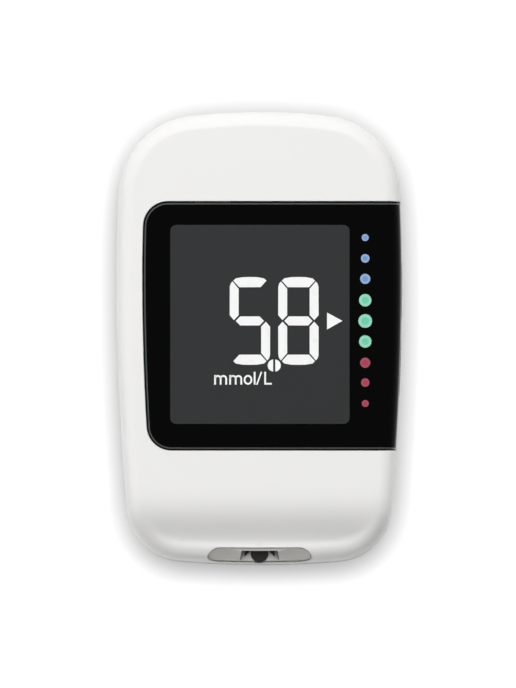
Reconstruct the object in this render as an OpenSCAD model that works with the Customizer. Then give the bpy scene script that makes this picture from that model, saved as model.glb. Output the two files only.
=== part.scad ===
// Blood glucose meter: a two-shell handheld case with a flush display lens, strip port, side buttons
// and a coin cell bay. Millimetres, +Z out of the display, +Y towards the top end, Z = 0 at the back.

/* [Body] */
// Width of the body at its widest
body_w = 48.6; // [48:0.2:54]
// Length of the body
body_l = 77.1; // [76.5:0.3:86]
// Thickness from the back to the middle of the front
body_h = 15.3; // [15.2:0.1:17]
// How far above the middle the body is widest
widest_y = 10.7; // [9:0.1:12]
// Angle that the top end's shallow arc turns on each side
top_end_turn = 6.8; // [6:0.1:7.4]
// Angle that a top corner turns
top_corner_turn = 80.3; // [79.5:0.1:80.8]
// Radius of the top corners
top_corner_r = 13.6; // [12:0.1:14.5]
// Angle that the bottom end's shallow arc turns on each side
bottom_end_turn = 5.1; // [4.6:0.1:5.4]
// Angle that a bottom corner turns
bottom_corner_turn = 79.9; // [79.2:0.1:80.2]
// Radius of the bottom corners
bottom_corner_r = 9.8; // [9:0.1:10.6]
// Wall of both shells
wall = 1.6; // [1.4:0.05:1.8]
// Height where the front and rear shells meet
parting_z = 6.6; // [6.3:0.1:6.9]
// Height of the lip that centres one shell in the other
lip_h = 0.8; // [0.6:0.05:1]

/* [Front form] */
// Width of the rolled edge around the front, in plan
front_roll_w = 2.6; // [2:0.1:3]
// Height of the rolled edge around the front
front_roll_h = 3.2; // [2.6:0.1:3.4]
// How much each side leans in from the parting line to the roll
side_draft = 0.25; // [0.1:0.05:0.4]
// Fall of the front's crown from the middle to each side
crown_side = 0.35; // [0.2:0.05:0.5]
// Fall of the front's crown from the middle to each end
crown_end = 0.25; // [0.1:0.05:0.4]
// Drop from the front to the chin above the strip port
chin_drop = 4.0; // [3.4:0.1:4.2]
// Distance from the bottom end to where the drop starts
chin_start = 14.5; // [13:0.1:16]
// Distance from the bottom end to where the drop ends
chin_end = 3.4; // [3:0.1:4]
// Distance from the bottom end to where the rolled edge starts to grow
nose_start = 10.0; // [9:0.1:11]
// Distance from the bottom end to where the rolled edge has grown
nose_end = 3.5; // [3:0.1:4]
// Width of the rolled edge at the bottom end, in plan
nose_roll_w = 3.15; // [2.8:0.05:3.5]
// Height of the rolled edge at the bottom end
nose_roll_h = 4.2; // [3.8:0.1:4.3]

/* [Back form] */
// Width of the rolled edge around the back, in plan
back_roll_w = 3.4; // [2.8:0.1:3.5]
// Height of the rolled edge around the back
back_roll_h = 4.4; // [3.6:0.1:5]
// Thickness of the back wall
back_t = 1.5; // [1.4:0.05:1.7]

/* [Lens] */
// Distance from the top end to the lens
lens_from_top = 15.55; // [15:0.1:16.5]
// Distance from the bottom end to the lens
lens_from_bottom = 19.65; // [19:0.1:20.5]
// Distance from the left side to the lens, in plan
lens_from_side = 4.6; // [4.2:0.1:5]
// Radius of the lens's left corners
lens_corner_r = 4.1; // [3:0.1:5]
// Thickness of the lens at the middle
lens_t = 1.5; // [1.3:0.05:1.6]
// Gap around the lens
lens_gap = 0.12; // [0.08:0.01:0.2]
// Thickness of the lens's side skirt
skirt_t = 1.5; // [1.3:0.05:1.6]
// Height of the white sill below the lens's side skirt
skirt_sill = 1.3; // [1.2:0.05:1.5]
// Thickness of the adhesive gasket under the lens
gasket_t = 0.2; // [0.15:0.05:0.3]
// Width of the ledge around the display's window, under the lens
ledge_w = 2.3; // [1.8:0.1:2.5]
// Thickness of the ledge that carries the lens
ledge_t = 1.1; // [0.9:0.05:1.2]
// Width of the ledge outside the lens, where it joins the front wall
ledge_frame = 1.2; // [1:0.05:1.4]
// How far the ledge's outer edge reaches up into the front wall
ledge_rise = 0.7; // [0.6:0.05:0.9]
// Thickness of the wall behind the lens's side skirt
slab_t = 1.4; // [1.3:0.05:1.5]

/* [Display] */
// Width of the display glass
glass_w = 33.6; // [32:0.2:34]
// Length of the display glass
glass_l = 36.2; // [34:0.2:36.4]
// Thickness of each display glass
glass_t = 0.6; // [0.5:0.05:0.7]
// Air gap between the display glass and the lens
glass_gap = 0.4; // [0.3:0.05:0.5]
// Clearance around the display glass in the ledge's window
glass_clear = 0.55; // [0.4:0.05:0.7]
// How far the front glass reaches past the rear glass, over the connector strip
glass_step = 2.4; // [2.2:0.1:2.8]
// Thickness of the light guide behind the display
guide_t = 1.2; // [1:0.05:1.3]
// Width of each backlight lamp
led_w = 2.8; // [2.2:0.1:3.2]
// Depth of each backlight lamp
led_d = 0.8; // [0.6:0.05:1]
// Height of each backlight lamp
led_h = 1.0; // [0.8:0.05:1]
// Distance between the two backlight lamps
led_pitch = 16; // [10:1:20]
// Wall of the display carrier
carrier_wall = 0.9; // [0.7:0.05:1]
// Thickness of the carrier's floor
carrier_floor = 0.6; // [0.5:0.05:0.8]
// Thickness of the connector strip under the front glass
zebra_t = 1.4; // [1:0.1:1.5]
// Distance from the glass's lower edge to the connector strip
zebra_from_edge = 0.4; // [0.3:0.05:0.5]
// Distance from the glass's sides to the connector strip's ends
zebra_from_side = 1.6; // [1.2:0.1:2]

/* [Circuit board] */
// Thickness of the circuit board
board_t = 1.0; // [0.8:0.05:1.2]
// Room between the cell bay's roof and the board
under_board = 1.15; // [1:0.05:1.3]
// Distance from the body's outline to the board's edge
board_inset = 2.9; // [2.8:0.1:3.3]
// Width, length and height of the microcontroller
controller_size = [7, 7, 0.9]; // [0.5:0.1:8]
// Width, length and height of the wireless module
wireless_size = [6, 8, 1.8]; // [0.5:0.1:9]
// Width, length and height of the memory chip
memory_size = [4.9, 3.9, 1.5]; // [0.5:0.1:5]
// Width, length and height of the clock crystal
crystal_size = [3.2, 1.5, 0.8]; // [0.5:0.1:4]
// Width, length and height of each chip capacitor
capacitor_size = [0.8, 1.6, 0.8]; // [0.5:0.1:2]
// Number of chip capacitors in each row
capacitor_count = 4; // [1:1:5]
// Distance between chip capacitors in a row
capacitor_pitch = 2.0; // [1.2:0.1:2.4]

/* [Cells] */
// Diameter of a coin cell, as standard for this size
cell_d = 20; // [19.8:0.1:20]
// Thickness of a coin cell, as standard for this size
cell_h = 3.2; // [3:0.1:3.2]
// Distance between the two cells
cell_split = 0.4; // [0.3:0.1:0.5]
// Clearance around each cell
cell_clear = 0.15; // [0.1:0.05:0.2]
// Distance of the cells' middle below the body's middle
cells_below = 6.0; // [5:0.5:7]
// Room above each cell for its spring contact
contact_room = 0.4; // [0.35:0.05:0.5]
// Thickness of the contact springs
contact_t = 0.2; // [0.15:0.05:0.25]
// Width of the contact springs at the cells' faces
face_contact_w = 2.0; // [1.6:0.1:2.4]
// Width of the contact springs at the cells' rims
rim_contact_w = 4.0; // [3:0.1:4.5]
// Thickness of the bay's roof
bay_roof = 0.8; // [0.6:0.05:0.9]
// Wall of the bay outside its opening
bay_wall = 0.6; // [0.5:0.05:0.8]

/* [Battery door] */
// Thickness of the battery door
door_t = 1.4; // [1.3:0.05:1.5]
// Room between the battery door and the cells
door_room = 0.25; // [0.15:0.05:0.4]
// How far the door's opening reaches past the cells at its top and bottom
door_past_cells = 1.25; // [1.1:0.05:1.5]
// Gap around the battery door
door_gap = 0.15; // [0.1:0.01:0.2]
// Corner radius of the battery door
door_corner_r = 9.0; // [8:0.2:10]
// Radius of the edge that the door rocks on as it opens
rock_r = 0.3; // [0.2:0.05:0.35]
// Width of each door hook
hook_w = 2.4; // [2:0.1:2.6]
// Thickness of each door hook
hook_t = 0.75; // [0.6:0.05:0.8]
// Reach of each door hook past the door's edge
hook_reach = 1.5; // [1.2:0.1:1.6]
// Distance between the two door hooks
hook_pitch = 5.4; // [5:0.2:7]
// Width of the latch tab
latch_w = 8.0; // [6:0.2:10]
// Length of the latch tab
latch_l = 5.0; // [4:0.2:6]
// Height of the latch's catch over the door
latch_h = 1.0; // [0.8:0.05:1.1]
// Width of the slits that free the latch tab
slit_w = 0.5; // [0.4:0.05:0.7]
// Number of grip grooves on the latch tab
groove_count = 4; // [2:1:4]
// Distance between grip grooves
groove_pitch = 0.9; // [0.7:0.05:1]
// Radius of the finger scoop beside the latch
scoop_r = 9.0; // [7:0.5:12]
// Depth of the finger scoop
scoop_depth = 0.9; // [0.6:0.05:1]

/* [Strip port] */
// Width of the port's bezel
port_w = 17.7; // [16:0.1:18.5]
// Height of the port's bezel
port_h = 4.2; // [3.8:0.1:4.3]
// Angle that the port leans back from the bottom end
port_lean = 45; // [40:1:50]
// Depth of the bezel from its face
bezel_t = 4.2; // [3.6:0.1:4.6]
// Distance of the strip connector from the bottom end
bezel_depth = 5.6; // [5.2:0.1:6]
// How far the bezel's face lies in from the housing's
bezel_recess = 0.15; // [0.05:0.05:0.3]
// Width of the strip slot
slot_w = 5.8; // [5:0.1:6.2]
// Height of the strip slot
slot_h = 1.0; // [0.8:0.05:1.1]
// Height of the slot's middle over the circuit board
slot_over_board = 0.8; // [0.7:0.05:0.9]
// Width of the slot's flared mouth
mouth_w = 7.0; // [6.4:0.1:7.4]
// Height of the slot's flared mouth at the bottom end
mouth_h = 4.8; // [4.2:0.1:5.2]
// Width of the connector's tray under the slot's mouth
tray_w = 5.0; // [4.6:0.1:5.4]
// Thickness of the tray
tray_t = 0.4; // [0.3:0.05:0.5]
// Radius of the tray's round nose
tray_r = 1.4; // [1.2:0.05:1.6]
// Distance of the round nose's middle from the bottom end
tray_from_end = 1.95; // [1.8:0.05:2.2]
// Radius of the dishes beside the slot
dish_r = 9.0; // [8:0.5:10]
// Distance of each dish's middle from the slot's middle
dish_x = 5.9; // [5.5:0.1:6.3]
// Depth of the dishes in the housing's face
dish_depth = 0.9; // [0.6:0.05:1]
// Width of the strip connector on the board
connector_w = 13.0; // [11:0.2:14]
// Length of the strip connector
connector_l = 10.5; // [9:0.5:11]
// Height of the strip connector
connector_h = 2.3; // [2.1:0.05:2.4]
// Number of contact blades in the strip connector
blade_count = 5; // [3:1:6]
// Width of a contact blade
blade_w = 0.45; // [0.35:0.05:0.5]
// Thickness of a contact blade
blade_t = 0.2; // [0.15:0.05:0.25]

/* [USB socket] */
// Width of the socket's shell
usb_w = 7.5; // [7:0.1:8]
// Height of the socket's shell
usb_h = 2.6; // [2.4:0.05:2.8]
// Length of the socket's shell
usb_l = 5.6; // [5:0.1:6]
// Wall of the socket's shell
usb_wall = 0.3; // [0.2:0.05:0.35]
// Corner radius of the socket's shell
usb_corner_r = 0.6; // [0.4:0.05:0.8]
// Distance from the top end to the socket's mouth
usb_recess = 0.45; // [0.3:0.05:0.6]
// Clearance around the socket in the housing
usb_clear = 0.35; // [0.2:0.05:0.4]
// Thickness of the socket's tongue
tongue_t = 0.6; // [0.5:0.05:0.7]

/* [Buttons] */
// Length of each side button
button_l = 9.5; // [8:0.1:10.5]
// Height of each side button
button_h = 2.6; // [2.2:0.1:2.7]
// How far a button stands out past the outline
button_proud = 0; // [0:0.05:0.6]
// Travel of a button
button_travel = 0.3; // [0.2:0.05:0.35]
// Height of the upper button above the body's middle
upper_button_y = 8.0; // [7:0.5:9]
// Distance between the two buttons' middles
button_pitch = 13.0; // [12.5:0.5:14]
// Running gap around a button
button_gap = 0.12; // [0.1:0.01:0.15]
// Thickness of the flange that keeps a button in
flange_t = 0.7; // [0.6:0.05:0.8]
// Width of that flange past the button's ends
flange_w = 0.8; // [0.5:0.05:1]
// Width of that flange over and under the button
flange_rim = 0.2; // [0.15:0.05:0.25]
// Length of each switch under a button
switch_l = 4.6; // [4:0.1:5.2]
// Height of each switch
switch_h = 3.2; // [3:0.1:3.3]
// Depth of each switch, from the button inwards
switch_d = 1.9; // [1.7:0.05:2]
// Radius of a switch's plunger
plunger_r = 0.6; // [0.5:0.05:0.7]
// Length of a switch's plunger
plunger_l = 1.0; // [0.9:0.05:1.1]

/* [Fasteners] */
// Outer radius of a screw's thread
screw_r = 1.0; // [0.9:0.05:1.1]
// Radius of a screw's head
head_r = 1.8; // [1.7:0.05:1.9]
// Height of a screw's head
head_h = 1.2; // [1:0.05:1.3]
// Depth of the recess that each head sits in
head_recess = 1.8; // [1.6:0.05:1.9]
// Length of a screw under its head
screw_l = 8.0; // [6.5:0.5:8.5]
// Radius of the star drive in a screw's head
drive_r = 0.9; // [0.7:0.05:1.1]
// Width of each arm of the star drive
drive_w = 0.56; // [0.4:0.02:0.7]
// Depth of the star drive
drive_depth = 0.7; // [0.5:0.05:0.8]
// Outer radius of each screw post
post_r = 2.3; // [2.1:0.05:2.4]
// Distance of the top screws from the centre line
top_screw_x = 14.0; // [13.5:0.5:14.5]
// Distance of the top screws from the top end
top_screw_from_end = 9.0; // [8.5:0.5:9.5]
// Distance of the bottom screws from the centre line
bottom_screw_x = 16.6; // [16.2:0.2:16.8]
// Distance of the bottom screws from the bottom end
bottom_screw_from_end = 11.8; // [11.6:0.2:12.4]

/* [Rating plate] */
// Width of the rating plate on the back
plate_w = 30; // [26:0.5:32]
// Length of the rating plate
plate_l = 13; // [10:0.5:14]
// Corner radius of the rating plate
plate_corner_r = 2.0; // [1:0.1:3]
// Depth of the recess that the rating plate sits in
plate_recess = 0.2; // [0.15:0.05:0.3]

/* [Hidden] */
$fn = 48;

hw = body_w / 2;
hl = body_l / 2;
past = 1; // how far a cut runs past the surface it opens
fit = 0.05; // seating clearance between fixed pieces
slack = 0.1; // loose clearance between fixed pieces
swing_room = 0.3; // clearance around what swings with the door

// --- outline: six tangent arcs a side, from the middle of the top end to the middle of the bottom end ---

// Radii of the end arc and the side arc that close a quarter of the outline
function arc_radii(w, l, a, b, rc) =
  let (s1 = sin(a), s2 = sin(a + b), c1 = cos(a), c2 = cos(a + b))
  let (m = w - rc * (s2 - s1), n = l - rc * (c1 - c2), det = s1 * c2 - (1 - s2) * (1 - c1))
  [(m * c2 - (1 - s2) * n) / det, (s1 * n - (1 - c1) * m) / det];

top_r = arc_radii(hw, hl - widest_y, top_end_turn, top_corner_turn, top_corner_r);
bottom_r = arc_radii(hw, hl + widest_y, bottom_end_turn, bottom_corner_turn, bottom_corner_r);
top_end_c = [0, hl - top_r[0]];
bottom_end_c = [0, bottom_r[0] - hl];
function dir(a) = [cos(a), sin(a)];
top_corner_c = top_end_c + (top_r[0] - top_corner_r) * dir(90 - top_end_turn);
bottom_corner_c = bottom_end_c + (bottom_r[0] - bottom_corner_r) * dir(bottom_end_turn - 90);
top_side_a = 90 - top_end_turn - top_corner_turn;
bottom_side_a = bottom_end_turn + bottom_corner_turn - 90;

// Each arc as centre, radius, first angle, last angle and number of steps
arcs = [
  [top_end_c, top_r[0], 90, 90 - top_end_turn, 3],
  [top_corner_c, top_corner_r, 90 - top_end_turn, top_side_a, 12],
  [[hw - top_r[1], widest_y], top_r[1], top_side_a, 0, 3],
  [[hw - bottom_r[1], widest_y], bottom_r[1], 0, bottom_side_a, 9],
  [bottom_corner_c, bottom_corner_r, bottom_side_a, bottom_end_turn - 90, 12],
  [bottom_end_c, bottom_r[0], bottom_end_turn - 90, -90, 3]];
// Stations down the right side: an arc's centre, its radius and an angle
stations = [for (a = arcs) for (k = [0 : a[4] - 1]) [a[0], a[1], a[2] + (a[3] - a[2]) * k / a[4]],
  [bottom_end_c, bottom_r[0], -90]];
last = len(stations) - 1;
function at(s, inset) = s[0] + (s[1] - inset) * dir(s[2]);
function mirrored(p) = [-p[0], p[1]];
// Half width of the body at a height along its sides
function side_x(y) = let (r = (y > widest_y ? top_r : bottom_r)[1]) hw - r + sqrt(r * r - pow(y - widest_y, 2));
// The closed outline, moved in by a distance
function outline(inset) = concat([for (s = stations) at(s, inset)],
  [for (i = [last - 1 : -1 : 1]) mirrored(at(stations[i], inset))]);

// --- front and rear forms ---

function clamp01(t) = min(1, max(0, t));
function ease(t) = t * t * (3 - 2 * t);
// From 0 to 1 between two distances from the bottom end
function toward_bottom(y, start, end) = ease(clamp01((start - hl - y) / (start - end)));
// The chin falls slowly at first and levels off quickly
function chin_share(t) = pow(t, 4) * (5 - 4 * t);
function face_z(x, y) = body_h - crown_side * pow(x / hw, 2) - crown_end * pow(y / hl, 2)
  - chin_drop * chin_share(clamp01((chin_start - hl - y) / (chin_start - chin_end)));
function roll_w(y) = front_roll_w + (nose_roll_w - front_roll_w) * toward_bottom(y, nose_start, nose_end);
function roll_h(y) = front_roll_h + (nose_roll_h - front_roll_h) * toward_bottom(y, nose_start, nose_end);

// Turns of the rings around a rolled edge: 0 where it leaves the face and 90 where it meets the side
outer_turns = [90, 72, 54, 36, 18, 0];
inner_turns = [90, 45, 0];
function roll_point(s, turn, inset, drop) =
  let (y = at(s, 0)[1], w = roll_w(y), top = at(s, inset + side_draft + w))
  let (p = at(s, inset + side_draft + w * (1 - sin(turn))))
  [p[0], p[1], face_z(top[0], top[1]) - drop - roll_h(y) * (1 - cos(turn))];
function ring_of(half) = concat(half, [for (i = [last - 1 : -1 : 1]) [-half[i][0], half[i][1], half[i][2]]]);
function level_ring(inset, z) = ring_of([for (s = stations) let (p = at(s, inset)) [p[0], p[1], z]]);

// The solid inside the front shell's outer face, moved in by inset and down by drop, from base_z up
module front_form(inset, drop, base_z, turns, across) {
  count = 2 * last;
  rolls = [for (t = turns) ring_of([for (s = stations) roll_point(s, t, inset, drop)])];
  rings = concat([level_ring(inset, base_z)], rolls);
  levels = len(rings);
  top = rings[levels - 1];
  ribs = [for (i = [1 : last - 1]) for (k = [1 : across - 1])
    let (x = top[i][0] * (1 - 2 * k / across)) [x, top[i][1], face_z(x, top[i][1]) - drop]];
  rib0 = levels * count;
  top0 = (levels - 1) * count;
  function rib(i, k) =
    k == 0 ? top0 + i : k == across ? top0 + count - i : rib0 + (i - 1) * (across - 1) + k - 1;
  walls = [for (j = [0 : levels - 2]) for (i = [0 : count - 1])
    let (a = j * count + i, b = j * count + (i + 1) % count)
    each [[a, b, a + count], [b, b + count, a + count]]];
  face = [for (i = [1 : last - 2]) for (k = [0 : across - 1])
    each [[rib(i, k), rib(i + 1, k), rib(i, k + 1)], [rib(i + 1, k), rib(i + 1, k + 1), rib(i, k + 1)]]];
  ends = [for (k = [0 : across - 1]) each [[top0, rib(1, k), rib(1, k + 1)],
    [top0 + last, rib(last - 1, k + 1), rib(last - 1, k)]]];
  polyhedron(concat([for (r = rings) each r], ribs),
    concat([[for (i = [count - 1 : -1 : 0]) i]], walls, face, ends), convexity = 6);
}

// The solid inside the rear shell's outer face, moved in by inset and up by lift, to top_z
module rear_form(inset, lift, top_z, turns) {
  count = 2 * last;
  rings = concat([level_ring(inset, top_z)], [for (t = turns)
    level_ring(inset + back_roll_w * (1 - sin(t)), lift + back_roll_h * (1 - cos(t)))]);
  levels = len(rings);
  walls = [for (j = [0 : levels - 2]) for (i = [0 : count - 1])
    let (a = j * count + i, b = j * count + (i + 1) % count)
    each [[a, a + count, b], [b, a + count, b + count]]];
  polyhedron([for (r = rings) each r], concat([[for (i = [0 : count - 1]) i]], walls,
    [[for (i = [count - 1 : -1 : 0]) (levels - 1) * count + i]]), convexity = 6);
}

module front_outer() { front_form(0, 0, parting_z, outer_turns, 8); }

// --- places that several pieces share ---

// Heights
cell_z = door_t + door_room;
bay_z = cell_z + cell_h + contact_room;
bay_top = bay_z + bay_roof;
board_z = bay_top + under_board;
board_top = board_z + board_t;
lens_z = body_h - lens_t;
ledge_z = lens_z - gasket_t;
ledge_low = ledge_z - ledge_t;
glass_top = lens_z - glass_gap;
rear_glass_z = glass_top - 2 * glass_t;
guide_z = rear_glass_z - guide_t;
carrier_z = guide_z - carrier_floor;
carrier_top = ledge_low - slack;
skirt_z = parting_z + skirt_sill;
switch_z = board_top + switch_h / 2;
nose_crest_y = side_draft + nose_roll_w - hl;
port_y = nose_crest_y - nose_roll_w * sin(port_lean);
port_z = face_z(0, nose_crest_y) - nose_roll_h * (1 - cos(port_lean));
slot_z = board_top + slot_over_board;
slot_low = slot_z - slot_h / 2;
slot_top = slot_z + slot_h / 2;
usb_z = board_top + usb_h / 2;
usb_mouth = hl - usb_recess;
usb_back = usb_mouth - usb_l;

// Lens, in plan
lens_top = hl - lens_from_top;
lens_bottom = lens_from_bottom - hl;
lens_left = lens_from_side - hw;
glass_y0 = (lens_top + lens_bottom - glass_l) / 2;
glass_y1 = glass_y0 + glass_l;
window_half_w = glass_w / 2 + glass_clear;
window_y0 = glass_y0 - glass_clear;
window_y1 = glass_y1 + glass_clear;
ledge_reach = ledge_w + ledge_frame;
ledge_x0 = min(lens_left - ledge_frame, -window_half_w - ledge_reach);
ledge_y0 = min(lens_bottom - ledge_frame, window_y0 - ledge_reach);
ledge_y1 = max(lens_top + ledge_frame, window_y1 + ledge_reach);
rear_glass_y0 = glass_y0 + glass_step;
guide_floor_y0 = rear_glass_y0 + carrier_wall + slack;
led_xs = [-led_pitch / 2, led_pitch / 2];

// Side wall behind the lens's skirt, with the buttons and switches
slab_inset = skirt_t + 2 * slack;
slab_in = hw - slab_inset - slab_t;
button_ys = [upper_button_y, upper_button_y - button_pitch];
flange_out = slab_in - fit;
button_end = flange_out - flange_t;
plunger_x1 = button_end - fit;
plunger_x0 = plunger_x1 - plunger_l;
switch_x1 = plunger_x1 - button_travel - slack;
switch_x0 = switch_x1 - switch_d;

// Cells and door
cells_y = -cells_below;
cell_x = (cell_d + cell_split) / 2;
opening_hx = cell_x + cell_d / 2 + cell_clear + fit;
opening_hy = cell_d / 2 + door_past_cells;
opening_y0 = cells_y - opening_hy;
opening_y1 = cells_y + opening_hy;
hinge_y = opening_y0 + door_gap;
hook_x = hook_pitch / 2;
hook_z0 = back_t + door_gap;
hook_z1 = hook_z0 + hook_t;
hook_root = opening_y0 + door_past_cells; // inner end of each hook
hook_side = hook_x + hook_w / 2 + swing_room;
hook_swing = rock_r + norm([hook_reach + rock_r, hook_z1 - rock_r]) + 2 * slack;
latch_z1 = door_t + latch_h;
face_contact_y = cells_y - cell_d / 4;
rim_contact_y = cells_y + cell_d / 2;

// Board and strip connector
bezel_back = bezel_depth - hl;
tray_y = tray_from_end - hl;
connector_y0 = bezel_back + slack;
connector_y1 = connector_y0 + connector_l;
blade_roof = slot_top + 3 * blade_t + 0.15;
blade_pitch = slot_w / (blade_count + 0.2);
blade_xs = [for (k = [0 : blade_count - 1]) (k - (blade_count - 1) / 2) * blade_pitch];
under_chips_y = opening_y1 + 8;
over_chips_y0 = glass_y1 + slack + carrier_wall + 1;

// Screws and rating plate
screws = [for (s = [-1, 1]) each [[s * top_screw_x, hl - top_screw_from_end],
  [s * bottom_screw_x, bottom_screw_from_end - hl]]];
post_z = head_recess + 2.4; // foot of the front shell's posts, on the rear shell's bosses
boss_r = post_r + 0.6;
plate_y = opening_y1 + 5.6 + plate_l / 2;

module rounded(w, l, r) {
  hull() for (x = [-1, 1]) for (y = [-1, 1]) translate([x * (w / 2 - r), y * (l / 2 - r)]) circle(r);
}
module block(x0, y0, z0, x1, y1, z1) { translate([x0, y0, z0]) cube([x1 - x0, y1 - y0, z1 - z0]); }
module slab_2d(x0, y0, x1, y1) { translate([x0, y0]) square([x1 - x0, y1 - y0]); }
module stadium(w, h) {
  square([w - h, h], center = true);
  for (s = [-1, 1]) translate([s * (w - h) / 2, 0]) circle(h / 2);
}
// A bar with round ends along the port's leaning axis, from a depth inside the face out past it
module port_bar(w, h, depth) {
  translate([0, port_y, port_z]) rotate([90 - port_lean, 0, 0]) translate([0, 0, -depth])
    linear_extrude(depth + 3 * past) stadium(w, h);
}
// A bar with round ends in the YZ plane, from x0 to x1
module stadium_x(l, h, x0, x1, y, z) {
  translate([x0, y, z]) rotate([90, 0, 90]) linear_extrude(x1 - x0) stadium(l, h);
}
module usb_block(grow, y0, y1) {
  translate([0, y1, usb_z]) rotate([90, 0, 0]) linear_extrude(y1 - y0)
    rounded(usb_w + 2 * grow, usb_h + 2 * grow, usb_corner_r);
}
// A chip of a given size, over or under the circuit board
module chip(x, y, size, under) {
  z = under ? board_z - size[2] : board_top;
  translate([x - size[0] / 2, y - size[1] / 2, z]) cube(size);
}

// Plan of the lens: parallel to the left side, round at its left corners, open past the right side
module lens_plan(grow) {
  x1 = hw + past;
  r = lens_corner_r + grow;
  left = [for (s = stations) let (p = mirrored(at(s, lens_from_side - grow)))
    if (p[1] < lens_top + grow - r && p[1] > lens_bottom - grow + r) p];
  top_x = left[0][0];
  bottom_x = left[len(left) - 1][0];
  polygon(concat(left,
    [for (a = [0 : 10 : 90]) [bottom_x + r * (1 - cos(a)), lens_bottom - grow + r * (1 - sin(a))]],
    [[x1, lens_bottom - grow], [x1, lens_top + grow]],
    [for (a = [90 : -10 : 0]) [top_x + r * (1 - cos(a)), lens_top + grow - r * (1 - sin(a))]]));
}

// The room that the lens fills, grown by a gap: a plate over the front and a skirt down the right side
module lens_room(grow, plate_z, inset, low_z) {
  translate([0, 0, plate_z]) linear_extrude(body_h + past - plate_z) lens_plan(grow);
  translate([0, 0, low_z]) linear_extrude(body_h + past - low_z) difference() {
    slab_2d(hw / 2, lens_bottom - grow, hw + past, lens_top + grow);
    polygon(outline(inset));
  }
}
module switch_rooms() {
  for (y = button_ys) block(switch_x0 - slack, y - switch_l / 2 - slack, board_top - past, hw,
    y + switch_l / 2 + slack, board_top + switch_h + slack);
}
module button_holes() {
  for (y = button_ys)
    stadium_x(button_l + 2 * button_gap, button_h + 2 * button_gap, slab_in - past, hw + past, y, switch_z);
}

// --- housings ---

module front_housing() {
  color([0.93, 0.93, 0.92]) difference() {
    union() {
      difference() {
        front_outer();
        front_form(wall, wall, parting_z - past, inner_turns, 4);
      }
      // Ledge that carries the lens, the wall behind its skirt and the screw posts
      translate([0, 0, ledge_low]) linear_extrude(ledge_t + ledge_rise) difference() {
        intersection() {
          slab_2d(ledge_x0, ledge_y0, hw, ledge_y1);
          polygon(outline(slab_inset));
        }
        slab_2d(-window_half_w, window_y0, window_half_w, window_y1);
      }
      translate([0, 0, parting_z]) linear_extrude(ledge_z - parting_z) intersection() {
        slab_2d(slab_in, ledge_y0, hw, ledge_y1);
        polygon(outline(slab_inset));
      }
      for (p = screws) translate([p[0], p[1], post_z])
        cylinder(r = post_r, h = face_z(p[0], p[1]) - wall / 2 - post_z);
    }
    lens_room(lens_gap, ledge_z, slab_inset, skirt_z);
    // Rebate for the rear shell's lip
    translate([0, 0, parting_z - past]) linear_extrude(lip_h + past + slack) difference() {
      polygon(outline(wall / 2));
      polygon(outline(wall + slack));
    }
    for (p = screws) translate([p[0], p[1], post_z - past])
      cylinder(r = screw_r + fit, h = head_recess + screw_l + 0.5 - post_z + past);
    button_holes();
    port_bar(port_w, port_h, bezel_t + 2 * slack);
    usb_block(usb_clear, usb_back, hl + past);
  }
}

module rear_housing() {
  color([0.92, 0.92, 0.91]) difference() {
    union() {
      difference() {
        rear_form(0, 0, parting_z, outer_turns);
        rear_form(wall, back_t, parting_z + past, inner_turns);
      }
      // Lip that centres the front shell
      translate([0, 0, parting_z - wall]) linear_extrude(lip_h + wall) difference() {
        polygon(outline(wall / 2 + slack));
        polygon(outline(wall));
      }
      // Cell bay and screw bosses
      translate([0, 0, back_t / 2]) linear_extrude(bay_top - back_t / 2) intersection() {
        translate([0, cells_y]) square([2 * (opening_hx + bay_wall), 2 * (opening_hy + 2 * bay_wall)], center = true);
        polygon(outline(wall));
      }
      for (p = screws) translate([p[0], p[1], back_t / 2]) cylinder(r = boss_r, h = post_z - fit - back_t / 2);
    }
    // The lip stops beside the strip port
    block(-port_w / 2 - 0.5, -hl, parting_z, port_w / 2 + 0.5, -hl + 4, parting_z + lip_h + past);
    // Door opening, cell pockets and the room that the door's hooks swing through
    translate([0, cells_y, -past]) linear_extrude(door_t + fit + past)
      rounded(2 * opening_hx, 2 * opening_hy, door_corner_r + door_gap);
    for (s = [-1, 1]) translate([s * cell_x, cells_y, 0]) cylinder(r = cell_d / 2 + cell_clear, h = bay_z);
    block(-hook_side, opening_y0 - hook_reach - swing_room - 2 * slack, hook_z0 - slack, hook_side,
      opening_y0 + hook_swing + swing_room, hook_swing);
    block(-hook_side, opening_y0, -past, hook_side, opening_y0 + hook_swing + swing_room, hook_swing);
    // Notch for the latch and the finger scoop beside it
    block(-latch_w / 2 - swing_room, opening_y1 - 2.2, 0, latch_w / 2 + swing_room, opening_y1,
      latch_z1 + 2 * slack);
    translate([0, opening_y1 + 1.6, scoop_depth - scoop_r]) rotate([0, 90, 0])
      cylinder(r = scoop_r, h = latch_w + 2, center = true, $fn = 64);
    for (x = [-cell_x, cell_x]) {
      // Slots for the contacts' blades
      block(x - rim_contact_w / 2 - 2 * slack, rim_contact_y - 0.4, back_t + 0.3,
        x + rim_contact_w / 2 + 2 * slack, rim_contact_y + contact_t + 0.3, bay_top + past);
      block(x - face_contact_w / 2 - slack, face_contact_y - 2 * slack - contact_t / 2, bay_z - slack,
        x + face_contact_w / 2 + slack, face_contact_y + 2 * slack + contact_t / 2, bay_top + past);
    }
    for (p = screws) translate([p[0], p[1], 0]) {
      translate([0, 0, -past]) cylinder(r = head_r + 0.25, h = head_recess + past);
      cylinder(r = screw_r + 0.15, h = post_z);
      translate([0, 0, post_z - fit]) cylinder(r = post_r + slack, h = parting_z + past - post_z);
    }
    translate([0, plate_y, -past]) linear_extrude(plate_recess + past)
      rounded(plate_w + 2 * slack, plate_l + 2 * slack, plate_corner_r + slack);
  }
}

module display_lens() {
  color([0.03, 0.03, 0.035]) difference() {
    intersection() {
      front_outer();
      lens_room(0, lens_z, skirt_t, skirt_z + lens_gap);
    }
    button_holes();
  }
}

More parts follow.
